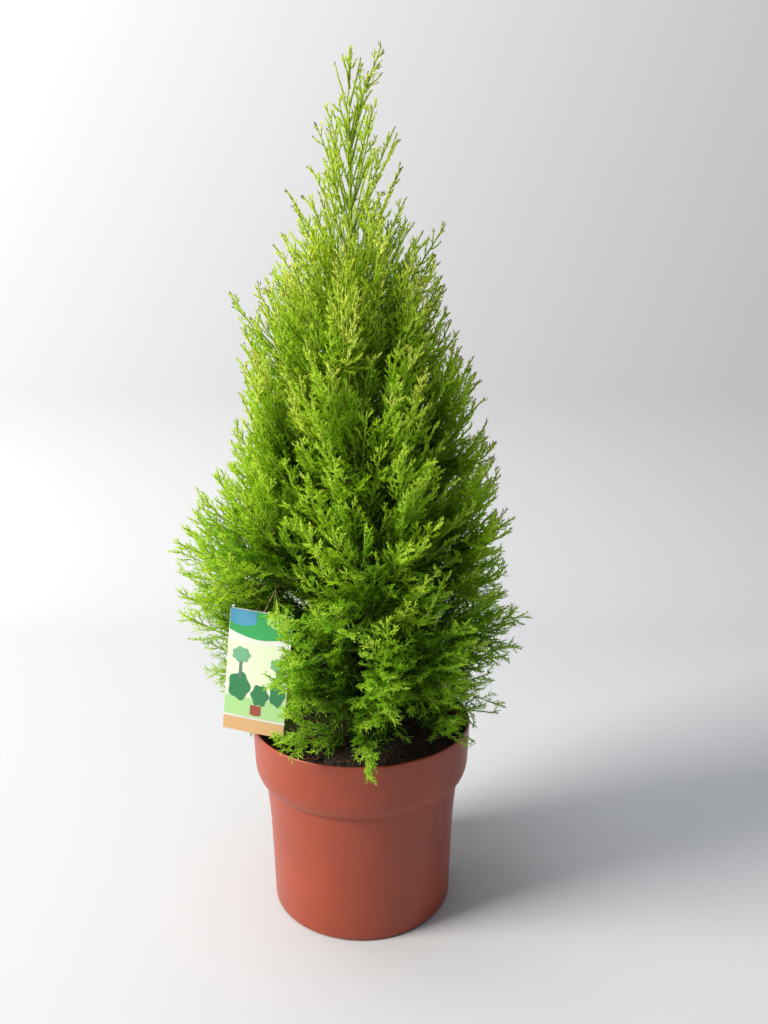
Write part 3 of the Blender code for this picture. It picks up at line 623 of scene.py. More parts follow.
def sway(paths, t, rng):
    """Bends sprays by two sine waves that grow outwards, and turns their tips up and inwards."""
    wander = rng.normal(0.0, 1.0, (len(paths), 2, 3)) * WANDER[None, :, None]
    wander *= lengths_of(paths)[:, None, None]
    s = t[None, :, None]
    for order, half_waves in enumerate((1.0, 3.0)):
        paths += wander[:, order, None] * np.sin(math.pi * s * half_waves) * s
    upturn = by_height(paths[:, -1, 2], UPTURN)
    upturn[-len(LONG_SHOOTS):] = 0.0
    lift = upturn[:, None] * rng.uniform(*UPTURN_CHANCE, (len(paths), 1)) * t ** 4
    outwards = paths[..., :2] - np.stack((trunk_x(paths[..., 2]), np.zeros_like(lift)), axis=-1)
    paths[..., :2] -= UPTURN_INWARDS * lift[..., None] * unit(outwards)
    paths[..., 2] += lift


def spray_paths(seed):
    """Every spray as a polyline from its stem or the trunk, and the room that its shoots have.

    Room is a share of the crown's radius. A spray that meets the card ends just short of it, and
    is dropped where too little is left of it or where it meets the pot.
    """
    rng = np.random.default_rng(seed)
    ends = turned_from_card(np.array(block_sprays(rng) + long_sprays()))
    paths, t = spray_curves(ends)
    hang_over_rim(paths, t)
    sway(paths, t, rng)
    free = np.cumprod(clear_of_card(paths), axis=1).sum(axis=1)
    short = (free < SPRAY_POINTS) & (free >= FEWEST_POINTS)
    left = t[None] * (free[short, None] - SHORT_OF_CARD) / (SPRAY_POINTS - 1.0)
    paths[short] = sample(paths[short], left)[0]
    ok = clear_of_pot(paths[:, UNTESTED_POINTS:]).all(axis=1) & (free >= FEWEST_POINTS)
    most = np.where(np.abs(np.cos(ends[:, 2])) > ROOM_SIDEWAYS, ROOM_AT_SIDES, ROOM_IN_FRONT)
    room = np.clip(ends[:, 5] + ROOM_BEYOND, ROOM_IN_FRONT, most)
    room[-len(LONG_SHOOTS):] = NO_LIMIT
    return paths[ok], room[ok]


def side_shoots(paths, rng, kind, spacing, limit):
    """Side shoots of polylines, counted back from each tip.

    Slot j sits at first + spacing * j from the tip, on alternate sides with a wobble. Its shoot
    is min(longest, short + gain * distance) long, leaves at an angle and bends forwards along a
    parabola. Low shoots stand wider and hang a little, high ones are close and turn upwards. A
    shoot is drawn in until it ends inside the limit, and dropped where it meets the pot or the
    card, or by chance in the thin top and near the trunk. Gives the shoots and each one's parent.
    """
    total = lengths_of(paths)
    count = len(paths)
    grid = (count, kind.slots)
    j = np.arange(kind.slots)[None]
    back = kind.first + spacing * (j + rng.uniform(-SLOT_JITTER, SLOT_JITTER, grid))
    t = 1.0 - back / total[:, None]
    base, tangent = sample(paths, t)
    side, normal = across_of(tangent)
    roll = rng.uniform(-FIRST_ROLL, FIRST_ROLL, (count, 1))
    roll = roll + math.pi * rng.integers(0, 2, (count, 1))
    turn = roll + math.pi * j + rng.normal(0.0, kind.wobble, grid)
    out = np.cos(turn)[..., None] * side + np.sin(turn)[..., None] * normal
    z = base[..., 2]
    lean = np.radians(by_height(z, SHOOT_LEAN))
    lean = (lean * rng.uniform(0.8, 1.2, grid))[..., None] * kind.spread
    lift = by_height(z, SHOOT_LIFT)[..., None]
    keep = rng.random(grid) < by_height(z, SHOOT_CHANCE)
    inner = by_height(z, INNER_CHANCE)
    inner += (1.0 - inner) * np.clip((crown_share(base) - INNER_START) / INNER_SPAN, 0.0, 1.0)
    keep &= rng.random(grid) < inner
    start = np.cos(lean) * tangent + np.sin(lean) * out
    end = np.cos(END_LEAN * lean) * tangent + np.sin(END_LEAN * lean) * out
    end = unit(end + lift * np.array((0.0, 0.0, 1.0)) + rng.normal(0.0, END_NOISE, end.shape))
    size = np.minimum(kind.longest, kind.short + kind.gain * back)
    size = size * rng.uniform(*SIZE_CHANCE, grid)
    size = np.where(back > OLD_BACK, size * OLD_SIZE, size) * by_height(z, SHOOT_SIZE)
    for _ in range(DRAWS):
        tip = base + size[..., None] * 0.5 * (start + end)
        size = np.where(crown_share(tip) > limit[:, None], size * DRAW_IN, size)
    s = np.linspace(0.0, 1.0, kind.points)[:, None]
    bend = s * start[..., None, :] + 0.5 * s * s * (end - start)[..., None, :]
    made = base[..., None, :] + size[..., None, None] * bend
    keep &= (t > BARE_PARENT) & (size > LEAST_LENGTH * kind.short)
    keep &= clear_of_pot(made).all(axis=-1) & clear_of_card(made).all(axis=-1)
    parent = np.broadcast_to(np.arange(count)[:, None], keep.shape)
    return made[keep], parent[keep]


def needles_on(paths, rng, spacing, bare, scale):
    """Needles in a spiral of golden turns round polylines, each a folded kite of two triangles.

    They spread low in the crown, lie close like scales above, and close up towards a tip. Gives
    corners (n, 4, 3), as base, left, tip and right, the row of each one's parent and its
    distance from the shoot's tip.
    """
    total = lengths_of(paths)
    back = FIRST_NEEDLE + spacing * np.arange(int(total.max() / spacing) + 1)
    t = 1.0 - back / total[:, None]
    rows, columns = np.nonzero(t > bare)
    back = back[columns]
    point, tangent = (found[:, 0] for found in sample(paths[rows], t[rows, columns][:, None]))
    side, normal = across_of(tangent)
    roll = rng.uniform(0.0, 2.0 * math.pi, len(paths))[rows]
    turn = (roll + GOLDEN_TURN * columns + rng.normal(0.0, 0.25, len(rows)))[:, None]
    out = np.cos(turn) * side + np.sin(turn) * normal
    near_tip = np.clip(back / CLOSING_LENGTH, 0.35, 1.0)
    lean = np.radians(by_height(point[:, 2], NEEDLE_LEAN))
    lean = (lean * near_tip * rng.uniform(0.8, 1.2, len(rows)))[:, None]
    length = by_height(point[:, 2], NEEDLE_LENGTH)
    length = (length * scale * rng.uniform(0.8, 1.15, len(rows)))[:, None]
    half = by_height(point[:, 2], NEEDLE_HALF_WIDTH)[:, None]
    ahead = np.cos(lean) * tangent + np.sin(lean) * out
    wide = np.cross(tangent, out) * half * scale
    fold = (out * np.cos(lean) - tangent * np.sin(lean)) * half * FOLD
    belly = point + ahead * length * BELLY
    tip = point + ahead * length + tangent * length * TIP_BEND
    kites = np.stack((point, belly + wide + fold, tip, belly - wide + fold), axis=1)
    return kites, rows, back


def cores_of(paths, turn):
    """A kite along each polyline, which backs its needles: base, left, tip, right."""
    base, tip = paths[:, 0], paths[:, -1]
    side, normal = across_of(unit(tip - base))
    half = by_height(base[:, 2], CORE_HALF_WIDTH)[:, None]
    wide = (math.cos(turn) * side + math.sin(turn) * normal) * half
    belly = base + (paths[:, paths.shape[1] // 2] - base) * 0.9
    return np.stack((base, belly + wide, tip, belly - wide), axis=1)


def green_of(points, ahead, pick, rng):
    """Number of the green that a spray at these points takes.

    Sprays are darker inside the crown, which is painted shade, and paler towards the outline and
    within a few centimetres of the tip ahead of them, and a little darker to the right, which is
    painted shade away from the key light. There are four tones each for the low, the middle and
    the high crown, ever yellower. Where two series meet, the height has to pass a number picked
    for each spray.
    """
    z = points[:, 2]
    # Painted shade: tones grow darker deeper inside the crown
    depth = np.clip((crown_share(points) - PALE_START) / PALE_SPAN, 0.0, 1.0)
    tone = by_height(z, TONE_INSIDE) + by_height(z, TONE_OUTWARDS) * depth
    tone = tone + TIP_TONE * np.exp(-ahead / TIP_LENGTH)
    tone = tone + rng.normal(0.0, TONE_NOISE, len(points))
    # Painted shade: a little darker towards the right, the side away from the key light
    tone = tone - RIGHT_PAINTED_SHADE * points[:, 0] / RIGHT_SHADE_SPAN
    series = (pick < by_height(z, MID_SERIES)).astype(int) + (pick < by_height(z, HIGH_SERIES))
    return np.clip((TONES * tone).astype(int), 0, TONES - 1) + TONES * series


def buds_and_shaded_tips_among(foot, back, rng):
    """Which needles take the olive of browned buds and of painted shade at backlit tips: the last
    few at a tip, by chance, at the outline.

    They are rare low down and common high up and on the right-hand side, where the olive is
    painted shade away from the key light.
    """
    chance = by_height(foot[:, 2], BUD_AND_SHADE_CHANCE)
    # Painted shade: on the right-hand side, away from the key light, olive tips are common at every
    # height
    right = foot[:, 0] > SIDEWAYS * np.hypot(*foot[:, :2].T)
    chance = np.where(right, BUD_AND_SHADE_CHANCE[-1][1], chance)
    bud = back < by_height(foot[:, 2], BUD_AND_SHADE_LENGTH)
    return bud & (rng.random(len(back)) < chance) & (crown_share(foot) > BUD_AND_SHADE_SHARE)


# ---------------------------------------------------------------- meshes

def new_piece(name, verts, faces, finish, slot, replaced=(), smooth=True):
    """A mesh object from corner and face arrays, riding on the root.

    It has one material and stands for the nodes that it replaces. The slot it is given is not used.
    """
    mesh = bpy.data.meshes.new(name)
    verts = np.ascontiguousarray(verts, np.float32).reshape(-1, 3)
    faces = np.ascontiguousarray(faces, np.int32)
    mesh.vertices.add(len(verts))
    mesh.vertices.foreach_set("co", verts.ravel())
    mesh.loops.add(faces.size)
    mesh.loops.foreach_set("vertex_index", faces.ravel())
    mesh.polygons.add(len(faces))
    starts = np.arange(len(faces), dtype=np.int32) * faces.shape[1]
    mesh.polygons.foreach_set("loop_start", starts)
    mesh.polygons.foreach_set("use_smooth", np.full(len(faces), smooth))
    mesh.update(calc_edges=True)
    mesh.materials.append(finish)
    piece = bpy.data.objects.new(name, mesh)
    bpy.context.scene.collection.objects.link(piece)
    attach(piece, "root")
    if replaced:
        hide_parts(*replaced)
    return piece


def split_quads(quads):
    """Each quad as two triangles."""
    return np.concatenate((quads[:, [0, 1, 2]], quads[:, [0, 2, 3]]))


def kite_faces(count):
    """Two triangles for each kite of four corners."""
    first = np.arange(count)[:, None] * 4
    return np.concatenate((first + np.array((0, 3, 2)), first + np.array((0, 2, 1))))


def grid_faces(rows, columns, wrap):
    """Quads of a grid of corners, joined round its columns where it wraps."""
    r = np.arange(rows - 1)[:, None]
    c = np.arange(columns if wrap else columns - 1)[None]
    n = (c + 1) % columns
    quad = np.stack((r * columns + c, r * columns + n, (r + 1) * columns + n,
                     (r + 1) * columns + c), axis=-1)
    return quad.reshape(-1, 4)


def tube_arrays(paths, radii, sides):
    """Closed tubes round polylines (n, k, 3): rings of corners square to each path, end caps.

    The radii are one for each point (n, k), or one for each corner (n, k, sides).
    """
    count, points = paths.shape[:2]
    side, normal = across_of(unit(np.gradient(paths, axis=1)))
    turn = 2.0 * math.pi * np.arange(sides) / sides
    ring = np.cos(turn)[:, None] * side[:, :, None] + np.sin(turn)[:, None] * normal[:, :, None]
    verts = paths[:, :, None] + ring * radii.reshape(count, points, -1, 1)
    a = np.arange(sides)
    fan = np.stack((np.zeros(sides - 2, int), a[2:], a[1:-1]), axis=-1)
    tris = np.concatenate((split_quads(grid_faces(points, sides, True)), fan,
                           fan[:, ::-1] + (points - 1) * sides))
    offset = np.arange(count)[:, None, None] * points * sides
    return verts.reshape(-1, 3), (tris[None] + offset).reshape(-1, 3)


def turned(profile, segments, ripple=0.0):
    """Corners and triangles of a closed surface of revolution; its end points lie on the axis.

    The profile is an array of radius and height. A ripple, as an array of rows by segments, is
    added to the heights. Triangles at the axis that close up to a line are left out.
    """
    turn = 2.0 * math.pi * np.arange(segments) / segments
    radius, z = profile[:, 0, None], profile[:, 1, None] + ripple
    verts = np.stack(np.broadcast_arrays(radius * np.cos(turn), radius * np.sin(turn), z), axis=-1)
    last = (len(profile) - 1) * segments
    tris = split_quads(grid_faces(len(profile), segments, True))
    tris = np.where(tris < segments, 0, np.minimum(tris, last))
    flat = (tris == np.roll(tris, 1, axis=1)).any(axis=1)
    used, packed = np.unique(tris[~flat], return_inverse=True)
    return verts.reshape(-1, 3)[used], packed.reshape(-1, 3)


def value_noise(x, y, seed, wrap):
    """Smooth random heights of 0 to 1 on a lattice that repeats after `wrap` cells in x."""
    deep = 256
    table = np.random.default_rng(seed).random((wrap, deep))
    xi, yi = np.floor(x).astype(int), np.floor(y).astype(int)
    fx, fy = x - xi, y - yi
    fx, fy = fx * fx * (3.0 - 2.0 * fx), fy * fy * (3.0 - 2.0 * fy)
    x0, x1, y0, y1 = xi % wrap, (xi + 1) % wrap, yi % deep, (yi + 1) % deep
    low = table[x0, y0] + (table[x1, y0] - table[x0, y0]) * fx
    high = table[x0, y1] + (table[x1, y1] - table[x0, y1]) * fx
    return low + (high - low) * fy


def merged(parts):
    """Several corner and face arrays as one."""
    offsets = np.cumsum([0] + [len(verts) for verts, _ in parts[:-1]])
    return (np.concatenate([verts for verts, _ in parts]),
            np.concatenate([faces + offset for (_, faces), offset in zip(parts, offsets)]))


# ---------------------------------------------------------------- materials

def linear(code):
    """Linear colour of an sRGB hex value."""
    channels = [int(code[k:k + 2], 16) / 255.0 for k in (1, 3, 5)]
    return [c / 12.92 if c <= 0.04045 else ((c + 0.055) / 1.055) ** 2.4 for c in channels] + [1.0]


def per_metre(millimetres):
    """Scale of a pattern whose features are this many millimetres apart."""
    return 1000.0 / millimetres


def add_node(tree, kind, settings=(), links=()):
    """Adds a node with its settings and its links, each given as a dictionary.

    Settings are properties or sockets, by name or number, or a ramp's stops as (position,
    colour) pairs. Links are input sockets with the output that feeds each.
    """
    made = tree.nodes.new(kind)
    for key, value in dict(settings).items():
        if key == "stops":
            elements = made.color_ramp.elements
            while len(elements) < len(value):
                elements.new(0.5)
            for element, (position, shade) in zip(elements, value):
                element.position = position
                element.color = shade
        elif isinstance(key, str) and hasattr(made, key):
            setattr(made, key, value)
        else:
            made.inputs[key].default_value = value
    for key, socket in dict(links).items():
        tree.links.new(socket, made.inputs[key])
    return made


def new_material(name, shade, roughness):
    """A Principled material of one linear colour; gives its tree and shader too."""
    made = bpy.data.materials.new(name)
    made.use_nodes = True
    shader = made.node_tree.nodes["Principled BSDF"]
    shader.inputs["Base Color"].default_value = shade
    shader.inputs["Roughness"].default_value = roughness
    made.diffuse_color = shade
    return made, made.node_tree, shader


def grained(name, stops, grain, roughness, relief, stretch=(1.0, 1.0, 1.0)):
    """A surface with a natural grain: coarse noise deals out its shades, fine noise is its relief.

    Stops are (position, colour) pairs, and a single one gives a plain colour. Grain is the width
    of the coarse noise's clouds in millimetres; those of the fine noise are a quarter of it.
    """
    made, tree, shader = new_material(name, stops[0][1], roughness)
    place = add_node(tree, "ShaderNodeTexCoord").outputs["Object"]
    mapped = add_node(tree, "ShaderNodeMapping", {"Scale": stretch}, {"Vector": place}).outputs[0]
    if len(stops) > 1:
        clouds = add_node(tree, "ShaderNodeTexNoise",
                          {"Scale": per_metre(grain), "Detail": 6.0, "Roughness": 0.6},
                          {"Vector": mapped})
        tint = add_node(tree, "ShaderNodeValToRGB", {"stops": stops}, {0: clouds.outputs["Fac"]})
        tree.links.new(tint.outputs["Color"], shader.inputs["Base Color"])
    fine = add_node(tree, "ShaderNodeTexNoise",
                    {"Scale": per_metre(grain / FINE_GRAIN), "Detail": 4.0}, {"Vector": mapped})
    bump = add_node(tree, "ShaderNodeBump", {"Strength": relief, "Distance": RELIEF_DEPTH},
                    {"Height": fine.outputs["Fac"]})
    tree.links.new(bump.outputs[0], shader.inputs["Normal"])
    return made


def moulded_plastic(s):
    """Injection-moulded polypropylene in the colour of terracotta.

    It gives a satin surface, faint flow clouding some 60 mm wide in colour and gloss, the
    mould's fine texture, and rare specks of dried soil up to a millimetre wide.
    """
    made, tree, shader = new_material("moulded_terracotta_plastic", s.plastic_dark, 0.36)
    place = add_node(tree, "ShaderNodeTexCoord").outputs["Object"]
    flow = add_node(tree, "ShaderNodeTexNoise", {"Scale": per_metre(62.5), "Detail": 3.0},
                    {"Vector": place}).outputs["Fac"]
    tint = add_node(tree, "ShaderNodeValToRGB",
                    {"stops": ((0.30, s.plastic_dark), (0.72, s.plastic_light))}, {0: flow})
    dirt = add_node(tree, "ShaderNodeTexVoronoi", {"Scale": per_metre(11.76)}, {"Vector": place})
    spot = add_node(tree, "ShaderNodeMapRange", {1: 0.06, 2: 0.10, 3: 1.0, 4: 0.0},
                    {0: dirt.outputs["Distance"]})
    rare = add_node(tree, "ShaderNodeTexNoise", {"Scale": per_metre(29.4)}, {"Vector": place})
    gate = add_node(tree, "ShaderNodeMapRange", {1: 0.60, 2: 0.66}, {0: rare.outputs["Fac"]})
    share = add_node(tree, "ShaderNodeMath", {"operation": "MULTIPLY"},
                     {0: spot.outputs[0], 1: gate.outputs[0]})
    mixed = add_node(tree, "ShaderNodeMix", {"data_type": "RGBA", 7: s.dried_soil},
                     {0: share.outputs[0], 6: tint.outputs["Color"]})
    tree.links.new(mixed.outputs[2], shader.inputs["Base Color"])
    gloss = add_node(tree, "ShaderNodeMapRange", {3: 0.32, 4: 0.44}, {0: flow})
    tree.links.new(gloss.outputs[0], shader.inputs["Roughness"])
    mould = add_node(tree, "ShaderNodeTexNoise", {"Scale": per_metre(3.85), "Detail": 4.0},
                     {"Vector": place})
    bump = add_node(tree, "ShaderNodeBump", {"Strength": 0.10, "Distance": 0.0002},
                    {"Height": mould.outputs["Fac"]})
    tree.links.new(bump.outputs[0], shader.inputs["Normal"])
    return made


def moist_peat(s):
    """Moist peat: nearly black, crumbly and quite matt, with browner crumbs 2 mm wide."""
    stops = ((0.30, s.peat_dark), (0.52, s.peat), (0.70, s.peat_light))
    return grained("moist_peat", stops, 2.38, 0.95, 0.9)


def loose_bits(name, shade):
    """Peat crumbs, composted bark or fibres: dry and matt, with a millimetre's grain."""
    return grained(name, ((0.5, shade),), 1.11, 0.9, 0.4)


def fibrous_bark(s):
    """Bark of a young cypress, which peels in fibrous strips.

    It gives brown streaks drawn out along the trunk, pale on the ridges and dark between them,
    and quite matt. The upper stem is still a green shoot, so the young colour takes over there.
    """
    stops = ((0.28, s.bark_dark), (0.50, s.bark), (0.72, s.bark_light))
    made = grained("fibrous_cypress_bark", stops, 3.85, 0.88, 0.8, (1.0, 1.0, 0.22))
    tree = made.node_tree
    base = tree.nodes["Principled BSDF"].inputs["Base Color"]
    place = add_node(tree, "ShaderNodeTexCoord").outputs["Object"]
    apart = add_node(tree, "ShaderNodeSeparateXYZ", {}, {0: place})
    share = add_node(tree, "ShaderNodeMapRange", dict(zip((1, 2), YOUNG_BARK)),
                     {0: apart.outputs["Z"]})
    mixed = add_node(tree, "ShaderNodeMix", {"data_type": "RGBA", 7: s.young},
                     {0: share.outputs[0], 6: base.links[0].from_socket})
    tree.links.new(mixed.outputs[2], base)
    return made


def green_wood(name, shades, roughness, relief):
    """Bark of this year's shoots: smooth and slightly waxy, in clouds of two shades 2 mm wide."""
    return grained(name, tuple(zip(CLOUD_STOPS, shades)), 2.0, roughness, relief)


def needle_green(name, shade):
    """Fresh cypress needles: plain green, waxy, and lit through from behind."""
    made, tree, shader = new_material(name, shade, 0.45)
    shader.inputs["Specular IOR Level"].default_value = 0.35
    glow = add_node(tree, "ShaderNodeBsdfTranslucent", {"Color": shade})
    both = add_node(tree, "ShaderNodeMixShader", {0: 0.50},
                    {1: shader.outputs[0], 2: glow.outputs[0]})
    tree.links.new(both.outputs[0], tree.nodes["Material Output"].inputs["Surface"])
    return made


def coated_card(s):
    """Coated card: near white, smooth and a little glossy, with faint clouding."""
    stops = tuple(zip(CLOUD_STOPS, (s.card_dark, s.card_light)))
    return grained("coated_label_card", stops, 16.7, 0.32, 0.05)


def offset_ink(name, shade):
    """Offset ink on coated card: one flat colour, as glossy as the card under it."""
    return grained(name, ((0.5, shade),), 5.0, 0.30, 0.03)


def strap_plastic(s):
    """Extruded polyethylene strap: brown, satin, with slight streaks."""
    stops = tuple(zip(CLOUD_STOPS, (s.strap_dark, s.strap_light)))
    return grained("brown_strap_plastic", stops, 3.33, 0.4, 0.1)


# ---------------------------------------------------------------- settings

def colour(name, description, code):
    """A colour setting with an sRGB hex value as its default."""
    return FloatVectorProperty(name=name, description=description, subtype="COLOR", size=4,
                               min=0.0, max=1.0, default=linear(code))


def metres(name, description, default, least=0.0):
    """A length setting, in metres."""
    return FloatProperty(name=name, description=description, unit="LENGTH", default=default,
                         min=least)


class CypressPotSettings(bpy.types.PropertyGroup):
    """Sizes and colours of the pot"""
    rim_radius: metres("Rim radius", "Outer radius of the rim", RIM_RADIUS)
    height: metres("Height", "Height of the pot", POT_HEIGHT)
    base_radius: metres("Base radius", "Outer radius of the foot", BASE_RADIUS)
    wall: metres("Wall", "Thickness of the moulded wall", 0.0018)
    segments: IntProperty(name="Segments", description="Segments round the pot", default=192)
    plastic_dark: colour("Plastic, dark", "Darker shade of the moulded plastic", "#8f3a22")
    plastic_light: colour("Plastic, light", "Lighter shade of the moulded plastic", "#9c4127")
    dried_soil: colour("Dried soil", "Colour of the specks of soil", "#5a2f22")


class CypressSoilSettings(bpy.types.PropertyGroup):
    """Surface of the potting soil"""
    lump: metres("Lump height", "Height of the soil's lumps", 0.0045)
    bits: IntProperty(name="Bits", description="Loose chips and fibres on the soil", default=900)
    peat_dark: colour("Peat, dark", "Colour between the peat's crumbs", "#120a06")
    peat: colour("Peat", "Middle colour of the moist peat", "#26160e")
    peat_light: colour("Peat, light", "Colour of the peat's browner crumbs", "#4a2c1b")
    crumbs: colour("Crumbs", "Colour of loose peat crumbs", "#1c110b")
    chips: colour("Bark chips", "Colour of loose bark chips", "#743a24")
    fibres: colour("Fibres", "Colour of loose pale fibres", "#8a6248")


class CypressLimbSettings(bpy.types.PropertyGroup):
    """Bark of trunk and boughs"""
    trunk_relief: metres("Trunk relief", "Depth of the trunk's ridges", 0.0011)
    bough_relief: metres("Bough relief", "Depth of the boughs' ridges", 0.0007)
    bark_dark: colour("Bark, dark", "Colour in the bark's cracks", "#2c1a10")
    bark: colour("Bark", "Middle colour of the bark", "#54351f")
    bark_light: colour("Bark, light", "Colour of the bark's fibres", "#7c5434")
    young: colour("Young stem", "Colour of the trunk near its tip", "#a4b840")


class CypressCrownSettings(bpy.types.PropertyGroup):
    """Growth of the foliage"""
    seed: IntProperty(name="Seed", description="Seed of the growth rule", default=7, min=0)
    twig_spacing: metres("Twig spacing", "Distance between twigs on a spray", 0.0058, 0.003)
    twiglet_spacing: metres("Twiglet spacing", "Distance between twiglets on a twig", 0.0040, 0.002)
    needle_spacing: metres("Needle spacing", "Distance between needles", 0.00130, 0.0004)
    wood_dark: colour("Old wood, dark", "Darker shade of a spray's foot", "#3c3c18")
    wood_light: colour("Old wood, light", "Lighter shade of a spray's foot", "#5c6a26")
    shoot_dark: colour("Shoot, dark", "Darker shade of a ripening spray", "#7d9a24")
    shoot_light: colour("Shoot, light", "Lighter shade of a ripening spray", "#a3b83c")
    twig_dark: colour("Twig, dark", "Darker shade of the twigs", "#84a822")
    twig_light: colour("Twig, light", "Lighter shade of the twigs", "#a2c234")


class CypressGreenSettings(bpy.types.PropertyGroup):
    """Colours of the needles: four tones for each third of the crown, darker inside as painted
    shade, and one olive for buds and painted shade of backlit tips
    """
    # The shade and deep tones carry painted shade of the crown's interior
    low_shade: colour("Low, shade", "Innermost needles low down", "#4a760e")
    low_deep: colour("Low, deep", "Inner needles low down", "#80b41a")
    low_leaf: colour("Low, leaf", "Outer needles low down", "#a4d62a")
    low_bright: colour("Low, bright", "Needles at the tips low down", "#c2e844")
    mid_shade: colour("Middle, shade", "Innermost needles half-way up", "#62860e")
    mid_deep: colour("Middle, deep", "Inner needles half-way up", "#94bc1c")
    mid_leaf: colour("Middle, leaf", "Outer needles half-way up", "#b6dc2c")
    mid_bright: colour("Middle, bright", "Needles at the tips half-way up", "#d0ec4c")
    high_deep: colour("High, deep", "Innermost needles high up", "#a2be20")
    high_leaf: colour("High, leaf", "Inner needles high up", "#c6de34")
    high_bright: colour("High, bright", "Outer needles high up", "#deee52")
    high_lime: colour("High, lime", "Needles at the tips high up", "#eef478")
    # One olive for browned buds and for painted shade of backlit tips at the outline
    bud_olive: colour("Buds", "Browned buds at the outline", "#827c2a")


class CypressLabelSettings(bpy.types.PropertyGroup):
    """Details and colours of the plant label"""
    corner: metres("Corner", "Radius of the card's corners", 0.0022)
    margin: metres("Margin", "Width of the edge without print", 0.0004)
    card_dark: colour("Card, dark", "Darker shade of the card", "#dfe4da")
    card_light: colour("Card, light", "Lighter shade of the card", "#e9ece4")
    strap_dark: colour("Strap, dark", "Darker shade of the strap", "#6d5136")
    strap_light: colour("Strap, light", "Lighter shade of the strap", "#8a6a48")
    field: colour("Field", "Ink of the pale field", "#e2edcb")
    band: colour("Band", "Ink of the top band", "#35a558")
    sky: colour("Sky", "Ink of the sky", "#4f9bc0")
    glow: colour("Glow", "Ink of the light patch", "#a9d86a")
    lawn: colour("Lawn", "Ink of the lawn", "#a9d48c")
    bushes: colour("Bushes", "Ink of the bushes", "#2f7d4c")
    stems: colour("Stems", "Ink of the little trees' stems", "#5f7a74")
    crowns: colour("Crowns", "Ink of the little trees' crowns", "#6fae86")
    clay: colour("Clay", "Ink of the little pot", "#9a4b36")
    kraft: colour("Kraft", "Ink of the bottom band", "#d2a874")


class CypressStudioSettings(bpy.types.PropertyGroup):
    """Floor and light"""
    floor: FloatVectorProperty(name="Floor", description="Colour of floor and backdrop",
                               subtype="COLOR", default=(0.53, 0.54, 0.555))
    key: FloatProperty(name="Key light", description="Power of the large light at the left",
                       default=330.0, unit="POWER")
    fill: FloatProperty(name="Sky", description="Strength of the light from all round",
                        default=0.28)


# A green's number is its place here
GREENS = tuple(CypressGreenSettings.__annotations__)
SETTINGS = {
    "cypress_pot": CypressPotSettings,
    "cypress_soil": CypressSoilSettings,
    "cypress_limbs": CypressLimbSettings,
    "cypress_crown": CypressCrownSettings,
    "cypress_greens": CypressGreenSettings,
    "cypress_label": CypressLabelSettings,
    "cypress_studio": CypressStudioSettings,
}


# ---------------------------------------------------------------- pot

def pot_profile(s):
    """Radius and height from the middle of the underside up the outside and down the inside.

    The body is two slopes that meet in a soft bend at the waist, blend * log(1 + e^(z / blend));
    the shoulder is a quarter turn raised to a power, the collar a slope, the lip a half circle.
    """
    foot, rim, top = s.base_radius, s.rim_radius, s.height
    base = [(0.0, 0.0)] + [(foot - inset, z) for inset, z in FOOT_EDGE]
    z = np.linspace(FOOT_TOP, SHOULDER_HEIGHT - BEND_SPARE, 40)
    low_slope = (WAIST_RADIUS - foot) / WAIST_HEIGHT
    high_slope = (SHOULDER_RADIUS - WAIST_RADIUS) / (SHOULDER_HEIGHT - WAIST_HEIGHT)
    over_waist = WAIST_BLEND * np.log1p(np.exp((z - WAIST_HEIGHT) / WAIST_BLEND))
    body = np.stack((foot + low_slope * z + (high_slope - low_slope) * over_waist, z), axis=-1)
    arc = 0.5 * math.pi * np.linspace(0.0, 1.0, 9)
    step = COLLAR_RADIUS - SHOULDER_RADIUS
    drop = COLLAR_BOTTOM - SHOULDER_HEIGHT
    shoulder = np.stack((SHOULDER_RADIUS + step * np.sin(arc) ** SHOULDER_POWER,
                         COLLAR_BOTTOM - drop * np.cos(arc)), axis=-1)
    z = np.linspace(COLLAR_BOTTOM + COLLAR_START, top - COLLAR_STOP, 14)
    flare = (rim - COLLAR_RADIUS) * (z - COLLAR_BOTTOM) / (top - COLLAR_BOTTOM - FLARE_STOP)
    collar = np.stack((COLLAR_RADIUS + flare, z), axis=-1)
    half_turn = np.linspace(0.0, math.pi, 11)
    lip = np.stack((rim - LIP + LIP * np.cos(half_turn),
                    top - LIP + LIP * np.sin(half_turn)), axis=-1)
    across, up = INNER_FILLET
    inner = [(rim - s.wall - INNER_LIP, top - INNER_TOP),
             (COLLAR_RADIUS - s.wall, COLLAR_BOTTOM - BEND_SPARE),
             (SHOULDER_RADIUS - s.wall, SHOULDER_HEIGHT - BEND_SPARE),
             (WAIST_RADIUS - s.wall, WAIST_HEIGHT - BEND_SPARE),
             (foot - s.wall, FLOOR_TOP + up), (foot - s.wall - across, FLOOR_TOP),
             (0.0, FLOOR_TOP)]
    return np.concatenate((base, body, shoulder, collar, lip, inner))


class CYPRESS_OT_pot(bpy.types.Operator):
    """Build the moulded plastic pot"""
    bl_idname = "cypress.pot"
    bl_label = "Pot"

    def execute(self, context):
        s = context.scene.cypress_pot
        piece = new_piece("pot_moulded", *turned(pot_profile(s), s.segments), moulded_plastic(s),
                          "terracotta_plastic", ("pot",))
        piece.data.set_sharp_from_angle(angle=math.radians(50.0))
        return {"FINISHED"}


# ---------------------------------------------------------------- soil

